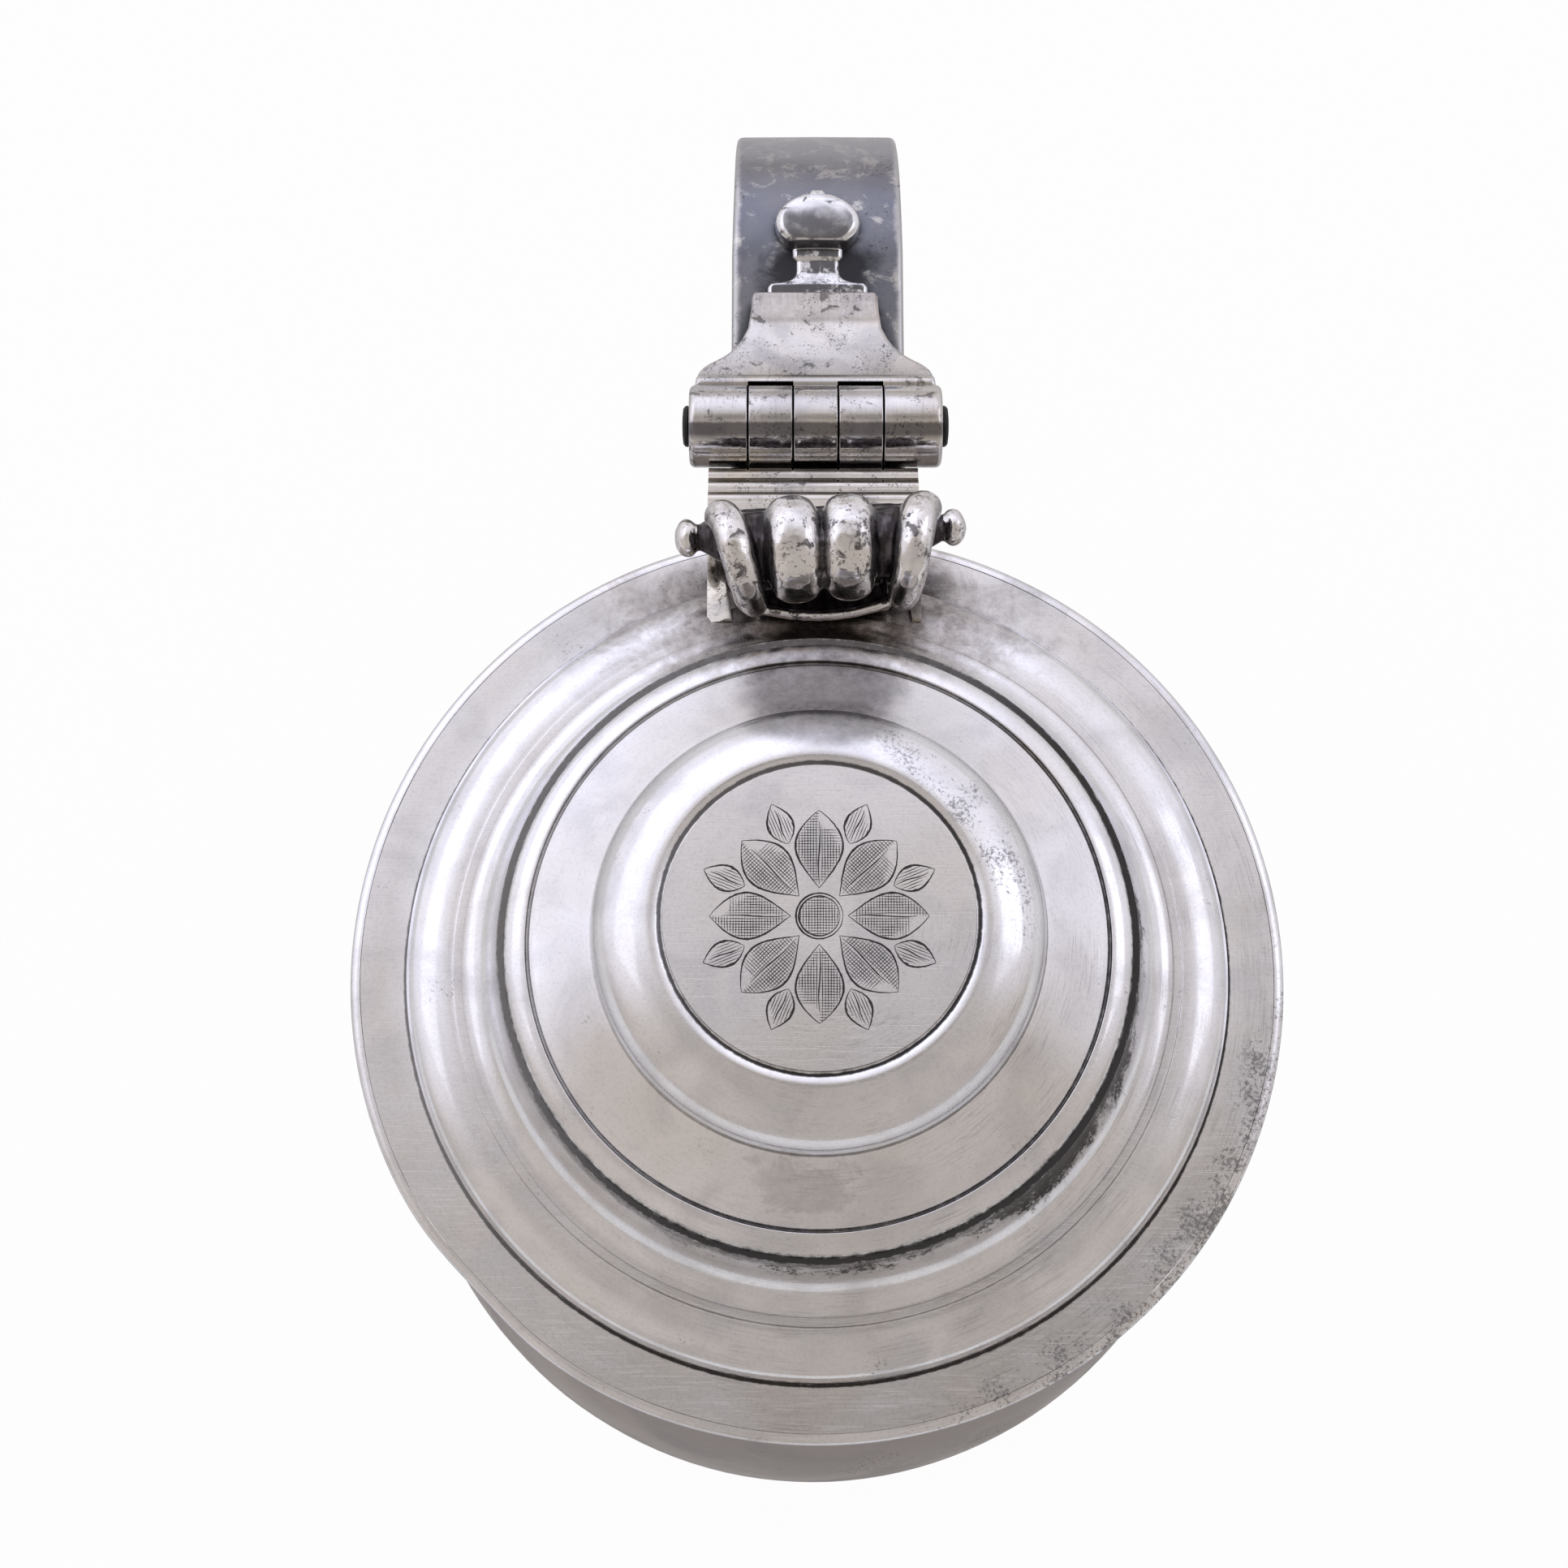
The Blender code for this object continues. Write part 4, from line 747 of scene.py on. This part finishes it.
def rubbedShare(across, reach, rise):
    # 1 on the crest of a rib, less down its sides as painted shade; knobs and lip are bright, hollows black
    if abs(across) > 15.3 or (rise < 8.0 and reach < 44.15 + 1.6 * (across / thumb["lip"]) ** 2):
        return 1.0
    # under the lip and low behind the knobs: sulphide and painted shade
    if (abs(across) > 13.6 and rise < 14 and reach > 49) or (rise < 8.3 and abs(across) < 7.5):
        return 0.0
    back, up = reach - thumb["reach"], rise - thumb["rise"]
    angle = degrees(atan2(up, back))
    angle += 360 if angle < -90 else 0
    best = 0
    for rib in thumb["ribs"]:
        share = (angle - rib[1][0]) / (rib[1][1] - rib[1][0])
        middle, _, radius, thick = ribAt(rib, min(1, max(0, share)))
        off = hypot((across - middle) / thick, min(0, hypot(back, up) - radius) / thick)
        best = max(best, 1.45 - off - 3 * max(0, -share, share - 1))
    return best


def makeThumbpiece():
    ring = bow((0, 0), 1, 1, 0, 345, 23)
    boxed = [(copysign(abs(x) ** 0.74, x), copysign(abs(y) ** 0.74, y)) for x, y in ring]
    lumps = [sweepSection("rib", boxed if rib[4] else ring, ribStations(rib)) for rib in thumb["ribs"]]
    line = [(0, -11.5), (3.6, -11.5), (4.7, -10.5), (thumb["core"], -8)]
    line += [(radius, -along) for radius, along in reversed(line)]
    lumps.append(turnOnLathe("roll", line, 48, "X", Vector((0, 51.0, lidTop + 12.0)) * mm))
    shell = joinUp("shell", lumps)
    applyStep(shell, "REMESH", mode="VOXEL", voxel_size=thumb["voxel"] * 1.2 * mm)
    applyStep(shell, "SMOOTH", factor=0.5, iterations=thumb["blend"])
    knob = bow((0, 16.6), 2.4, 1.6, 90, -52, 12)
    line = [(0, knob[0][1])] + knob + [(1.7, 15.0), (2.3, 14.0), (3.3, 12.4), (3.4, 0)]
    line += [(radius, -along) for radius, along in reversed(line[:-1])]
    knobs = turnOnLathe("knobs", line, 40, "X", Vector((0, 53.5, lidTop + 10.0)) * mm)
    # lip: a thin flared edge that runs round from horn to horn
    lip = [(thumb["lip"] * side, 43.65 + 1.5 * side ** 2, lidTop + 6.9 + 0.6 * side ** 2, 1)
           for side in evenly(-1, 1, 24)]
    lumps = [shell, knobs, drawWires("lip", [lip], 0.7, 3)]
    for wide, near, far, low, high in thumb["blocks"]:
        lumps.append(addBlock((0, (near + far) / 2, lidTop + (low + high) / 2), (2 * wide, far - near, high - low)))
    piece = joinUp("thumbpiece_cast", lumps)
    applyStep(piece, "REMESH", mode="VOXEL", voxel_size=thumb["voxel"] * mm)
    applyStep(piece, "SMOOTH", factor=0.5, iterations=4)
    handWork(piece, 0.22, 2.0)
    # bright share: crests rubbed bright, painted shade down the sides, sulphide in the hollows
    rubbed = piece.data.attributes.new("rubbed", "FLOAT", "POINT")
    turn = radians(thumb["yaw"])  # it was soldered on a little askew
    for vertex, share in zip(piece.data.vertices, rubbed.data):
        share.value = rubbedShare(vertex.co.x / mm, vertex.co.y / mm, vertex.co.z / mm - lidTop)
        across, along = vertex.co.x, vertex.co.y - thumb["reach"] * mm
        vertex.co.x = across * cos(turn) - along * sin(turn) + thumb["middle"] * mm
        vertex.co.y = across * sin(turn) + along * cos(turn) + thumb["reach"] * mm
    dress(piece, "lid", castSilver, "silver_bright", "thumbpiece", angle=80)


makeThumbpiece()
print("thumbpiece cast")


# handle: flat strap outside, rounded shell inside, along one line of runs and bends;
# a run or bend has its length or radius, its turn in degrees, the scale at its end and its steps
handle = {
    "slope": 4.0, "arm": 98.35, "start": (48.2, 120.9), "crown": 26.0, "middle": 0.4, "half": 11.5, "thick": 1.8,
    "shell": (10.5, 9.3), "way": (
        (26.0, -109, 0.925, 30), (14.07, 0, 0.92, 4), (50.0, -60, 0.9, 18), (15.02, 0, 0.883, 4),
        (12.0, 145, 0.717, 24), (8.0, 0, 0.7, 3))}


def handleLine(first):
    # stations from the body round to the tail
    slope = radians(handle["slope"])
    height = handle["start"][1] + (first - handle["start"][0]) * tan(slope)
    found = [(handle["middle"], first, height, handle["slope"], 1.0)]
    arm = ((handle["arm"] - first) / cos(slope), 0, 0.99, 10)
    for far, around, scale, steps in (arm,) + handle["way"]:
        old, swing = found[-1][4], around / steps
        step = 2 * far * sin(radians(abs(swing)) / 2) if swing else far / steps
        for i in range(steps):
            across, reach, rise, heading, _ = found[-1]
            turn = radians(heading + swing / 2)
            found.append((across, reach + step * cos(turn), rise + step * sin(turn), heading + swing,
                          blend(old, scale, (i + 1) / steps)))
    return found


def makeHandle():
    half, thick = handle["half"], handle["thick"]
    strap = [(0, -thick), (half, -thick), (half, 0), (0, 0.06), (-half, 0), (-half, -thick), (0, -thick)]
    piece = sweepSection("handle_strap_flat", soften(strap, 1.0)[:-1], handleLine(50.9))
    handWork(piece, 0.10, 12)
    dress(piece, "body", strapSilver, "silver_tarnished", "handle_strap")
    piece = sweepSection("handle_shell_rounded", bow((0, -1.7), *handle["shell"], 180, 360, 28), handleLine(50.4))
    dress(piece, "body", bodySilver, "silver_worn", "handle_shell")


makeHandle()
print("handle swept")


# hinge leaf on the handle: flared plate with a bead at its root and a fold near its tip
leaf = {
    "root": 75.9, "bead": (76.9, 3.6, 1.25), "fold": (87.3, -0.75), "tip": (92.0, -1.25), "round": 0.55, "corner": 0.9,
    "under": -7.6, "underAt": 71.5, "halves": [
        (75.0, 15.6), (76.6, 15.55), (77.8, 15.4), (78.9, 15.15), (79.5, 14.8), (80.0, 14.35), (80.6, 13.6),
        (81.2, 12.65), (81.8, 11.85), (82.4, 11.2), (83.4, 10.35), (84.6, 9.6), (86.5, 8.8), (89.0, 8.45),
        (92.0, 8.3)]}


def between(table, place):
    # reads a table of (place, value), straight from one row to the next
    for (start, low), (end, high) in zip(table, table[1:]):
        if place <= end:
            return blend(low, high, (place - start) / (end - start))


def leafTop(reach):
    middle, top, radius = leaf["bead"]
    (fold, foldRise), (tip, tipRise) = leaf["fold"], leaf["tip"]
    near = abs(reach - middle) / radius
    bead = top - radius * (1 - arc(near))
    if reach < middle:
        return bead
    start, low = middle + radius * 0.9, top - 1.15
    share = max(0, (reach - start) / (fold - start))
    dish = blend(low, foldRise, share + 0.35 * share * (1 - share))
    if near < 1:
        return max(dish, bead)
    beyond = foldRise + 0.12 + (tipRise - foldRise) * (reach - fold) / (tip - fold)
    soft = min(1, max(0, (reach - fold + 0.7) / 1.4))
    return blend(dish, beyond, soft * soft * (3 - 2 * soft))


def leafPlace(side, share):
    tip, corner, bevel = leaf["tip"][0], leaf["corner"], leaf["round"]
    reach = blend(leaf["root"], tip, share)
    left = tip - reach
    inTip = max(0, 1 - left / corner)  # rounded corners at the tip
    half = between(leaf["halves"], reach) - corner * (1 - arc(inTip))
    side = copysign(1 - (1 - abs(side)) ** 1.5, side)  # finer towards the edges
    short = max(0, 1 - min(half * (1 - abs(side)), left) / bevel)
    return half * side, reach, lidTop + leafTop(reach) - bevel * (1 - arc(short))


hingeLeaf = formGrid("handle_leaf_flared", 48, 72, leafPlace, lambda reach:
                     lidTop + leaf["under"] + (reach - leaf["underAt"]) * tan(radians(handle["slope"])))
cutAway(hingeLeaf, barrelCutters(1, 0.5, 0.2))
dress(hingeLeaf, "body", leafSilver, "silver_bright", "handle_leaf")
print("leaf shaped")


# drop on the strap: tier, neck, collar, flattened ball and finial, cut with rounded edges
drop = {
    "start": 92.2, "middle": 0.4, "tier": 6.7, "neck": 2.95, "collar": 3.4, "ball": (5.65, 3.9), "ballAt": 9.75,
    "ballFoot": 6.75, "tip": 1.0, "tipAt": 14.55, "heights": [
        (0, 1.35), (1.4, 1.35), (3.2, 0.85), (5.0, 0.8), (5.5, 1.05), (6.63, 1.05), (6.87, 3.3), (13.2, 3.3),
        (13.7, 2.2), (20, 2.2)]}


def strapAt(along):
    # reach, height and heading of the strap's face this far beyond the leaf's tip
    reach = drop["start"] + along
    rise = handle["start"][1] + (reach - handle["start"][0]) * tan(radians(handle["slope"]))
    heading = handle["slope"]
    past = reach - handle["arm"]
    if past > 0:
        heading -= degrees(asin(past / handle["crown"]))
        rise -= past * past / (2 * handle["crown"])
    return reach, rise, heading


def dropHalf(along):
    # half width of the drop this far beyond the leaf
    tier, neck, collar = drop["tier"], drop["neck"], drop["collar"]
    if along < 1.7:
        return tier - 0.5 * max(0, along - 1.2)
    if along < 3.9:
        return blend(neck, tier - 0.45, 1 - arc((3.9 - along) / 2.2))
    if along < 5.0:
        return neck
    if along <= drop["ballFoot"]:
        return blend(neck, collar, min(1, (along - 5.0) / 0.6) ** 0.6)
    wide, tall = drop["ball"]
    tip = 1.3 * drop["tip"] * arc((along - drop["tipAt"]) / drop["tip"])
    return max(wide * arc((along - drop["ballAt"]) / tall), tip, 0.05)


def dropPlace(side, share):
    long = drop["tipAt"] + drop["tip"]
    side = copysign(1 - (1 - abs(side)) ** 1.8, side)
    along = long * share
    half, high = dropHalf(along), between(drop["heights"], along)
    onBall = along > drop["ballFoot"]
    bevel = min(high, 1.2 if onBall else 0.7)
    edge = half * (1 - abs(side))
    crown = 0.3 * side * side
    if onBall:  # pillowed, with a soft lower edge
        edge = min(edge, along - drop["ballFoot"] + 0.6, long - along)
        crown += 0.35 * ((along - drop["ballAt"]) / drop["ball"][1]) ** 2
    short = max(0, 1 - edge / bevel)
    out = high - bevel * (1 - arc(short)) - min(crown, 0.6)
    reach, rise, heading = strapAt(along)
    turn = radians(heading)
    return drop["middle"] + half * side, reach - sin(turn) * out, rise + cos(turn) * out


strapDrop = formGrid("handle_drop_cut", 56, 150, dropPlace, lambda reach: strapAt(reach - drop["start"])[1] - 0.5)
handWork(strapDrop, 0.10, 2.5)
dress(strapDrop, "body", dropSilver, "silver_bright", "handle_drop", angle=50)
print("drop laid on the strap")


# flower cut into the crown: eight hatched petals, leaves between them and a hatched heart
flower = {
    "petals": 8, "petal": (3.3, 12.6, 2.75, 1.15), "leaf": (9.3, 14.4, 1.5, 0.9), "heart": 2.7, "spacing": 0.33,
    "weight": 0.065, "sunk": 0.003}


def makeFlower():
    chance = random.Random(11)
    weight, gap, heart = flower["weight"], flower["spacing"], flower["heart"]
    level = lidTop + lid["discTop"] - flower["sunk"]
    strokes = []

    def stroke(points, heavy, turn):
        # one burin stroke, thin at both ends and uneven
        last = len(points) - 1
        done = []
        for i, (along, side) in enumerate(points):
            swell = heavy * (0.35 + 0.65 * sin(pi * (i + 0.4) / (last + 0.8))) * chance.uniform(0.85, 1.15)
            along, side = along + chance.uniform(-0.02, 0.02), side + chance.uniform(-0.02, 0.02)
            done.append((along * cos(turn) - side * sin(turn),
                         along * sin(turn) + side * cos(turn), level, swell))
        strokes.append(done)

    def halfWidth(share, half, power):
        return half * sin(pi * share ** power) ** 0.9 if 0 < share < 1 else 0.0

    def petal(root, tip, half, power, turn, hatched):
        tall = tip - root
        rim = [(root + tall * share, halfWidth(share, half, power)) for share in evenly(0, 1, 28)]
        stroke(rim, weight * 2.1, turn)
        stroke([(along, -side) for along, side in rim], weight * 2.1, turn)
        stroke([(root + tall * (0.05 + 0.8 * i / 12), 0.1 * sin(i / 2)) for i in range(13)], weight * 1.6, turn)
        offset = gap
        while offset < half:
            inside = [along for along, wide in rim if wide > offset]
            for side in (1, -1):
                if len(inside) > 3:
                    first, last = inside[0], inside[-1] - (0 if side > 0 else 0.15 * tall)
                    if last - first > 0.6:
                        stroke([(along, side * offset) for along in evenly(first, last, 6)], weight, turn)
            offset += gap
        along = root + gap
        while hatched and along < tip - gap:
            wide = halfWidth((along - root) / tall, half, power) - 0.1
            if wide > 0.4:
                stroke([(along, side) for side in evenly(0, wide, 4)], weight, turn)
                if along < root + 0.75 * tall:
                    stroke([(along, side) for side in evenly(0, -wide, 4)], weight * 0.9, turn)
            along += gap

    step = 2 * pi / flower["petals"]
    for i in range(flower["petals"]):
        turn = pi / 2 + i * step
        petal(*flower["petal"], turn, True)
        petal(*flower["leaf"], turn + 0.5 * step, False)
    for ring in (heart, heart - 0.35):
        stroke(bow((0, 0), ring, ring, 0, 360, 40), weight * 2, 0)
    across = -heart + 0.6
    while across < heart - 0.4:
        half = sqrt(max(0, (heart - 0.4) ** 2 - across ** 2))
        for turn in (0, pi / 2):
            stroke([(along, across) for along in evenly(-half, half, 4)], weight, turn)
        across += gap

    piece = drawWires("crown_flower_engraved", strokes, 1, 0)
    editAll()
    bpy.ops.transform.resize(value=(1, 1, 0.2), center_override=(0, 0, level * mm))  # flush with the metal
    setMode("OBJECT")
    dress(piece, "lid", lineBlack, "silver_bright")
    print("engraved strokes:", len(strokes))


makeFlower()

# carried-over pieces keep their solids
for node, finish in (("handle_pad", bodySilver), ("handle_terminal", bodySilver), ("lid_bezel", bodySilver),
                     ("hinge_pin", pinBlack)):
    for holder in frame["nodes"][node].material_slots:
        holder.material = finish


# pale paper floor, shown white and seen in the metal only from farther off
def makeFloor():
    floor = startFrom("plane", "floor", size=6, location=(0, 0, floorLevel))
    bpy.ops.object.transform_apply(location=True)
    material, put, paper, inMm = newMaterial("paper_white")
    feed(paper, {"Base Color": "#dedede", "Roughness": 0.9})
    far = put(smooth, put(length, inMm), 200, 600, 0, 0.42)
    share = put(timesPlus, put(rays, out="Is Glossy Ray"), far, put(times, put(rays, out="Is Camera Ray"), 0.97))
    glow = put(("Emission", {}), "#ffffff", 1.0)
    feed(material.node_tree.nodes["Material Output"],
         {"Surface": put(("MixShader", {}), share, paper.outputs[0], glow)})
    floor.data.materials.append(material)


# light: soft banks behind, a dimmer and warmer room in front, white past the object
light = {
    "room": ("#fff5ee", 0.53), "overhead": (0.95, 0.998, 1, 0.3),
    "shadow": ((0.06, 0.08, 0.995), (0.984, 0.996, 1, 0.76)), "banks": (
        ((-0.70, 0.60, 0.38), 0.56, 0.96, 0.72, "#e6eaff"), ((0.70, 0.62, 0.35), 0.55, 0.95, 0.52, "#e6eaff"),
        ((0.0, 0.74, 0.67), 0.88, 0.985, 0.28, "#dfe4ff"), ((-0.25, 0.60, 0.76), 0.80, 0.93, 0.25, "#e6eaff"),
        ((0.35, 0.55, 0.76), 0.80, 0.93, 0.11, "#e6eaff"), ((-0.73, -0.48, 0.49), 0.76, 0.98, 0.11, "#fff5ee"),
        ((0.73, -0.48, 0.49), 0.76, 0.98, 0.05, "#fff5ee")),
    "lamps": (
        ("leftBank", (-0.80, 0.46, 0.90), (1.0, 0.6), 0.52, "#f0f3ff"),
        ("rightBank", (0.70, 0.26, 0.76), (0.45, 0.5), 0.36, "#f0f3ff"),
        ("topBank", (0.0, 0.42, 1.25), (1.4, 0.42), 0.10, "#ffffff")), "aim": (0, 0, 0.13)}


def makeLight():
    world = bpy.data.worlds.new("studio")
    bpy.context.scene.world = world
    world.use_nodes = True
    put = partial(addNode, world.node_tree)
    facing = put(coords, out="Generated")
    shade = put(smooth, put(parts, facing, out="Z"), *light["overhead"])
    tint, level = light["room"]
    tone = [part * level for part in hexColour(tint)[:3]]
    for aim, start, full, level, tint in light["banks"]:
        bank = put(times, put(smooth, put(dot, facing, aim), start, full, 0, level), shade)
        tone = put(shifted, put(scaled, hexColour(tint)[:3], bank), tone)
    aim, fade = light["shadow"]
    tone = put(scaled, tone, put(smooth, put(dot, facing, aim), *fade))
    tone = put(mix, put(rays, out="Is Camera Ray"), tone, "#ffffff")
    feed(world.node_tree.nodes["Background"], {"Color": tone})
    for name, place, wide, power, tint in light["lamps"]:
        lamp = bpy.data.lights.new(name, "AREA")
        lamp.shape = "RECTANGLE"
        lamp.size, lamp.size_y = wide
        lamp.energy = power
        lamp.color = hexColour(tint)[:3]
        holder = addObject(name, lamp)
        holder.location = place
        holder.rotation_euler = (Vector(light["aim"]) - Vector(place)).to_track_quat("-Z", "Y").to_euler()


makeFloor()
makeLight()

# camera as the photograph was taken: from above, leaning towards the handle
view = {"sensor": 36, "focal": 3800, "frame": 1932, "place": (-0.00406, -0.08633, 0.49805), "tilt": 16.563}
lens = bpy.data.cameras.new("camera")
lens.sensor_width = view["sensor"]
lens.lens = view["sensor"] * view["focal"] / view["frame"]
camera = addObject("camera", lens)
camera.location = view["place"]
camera.rotation_euler = (radians(view["tilt"]), 0, 0)
bpy.context.scene.camera = camera
bpy.context.scene.view_settings.view_transform = "Standard"
print("light and camera set")
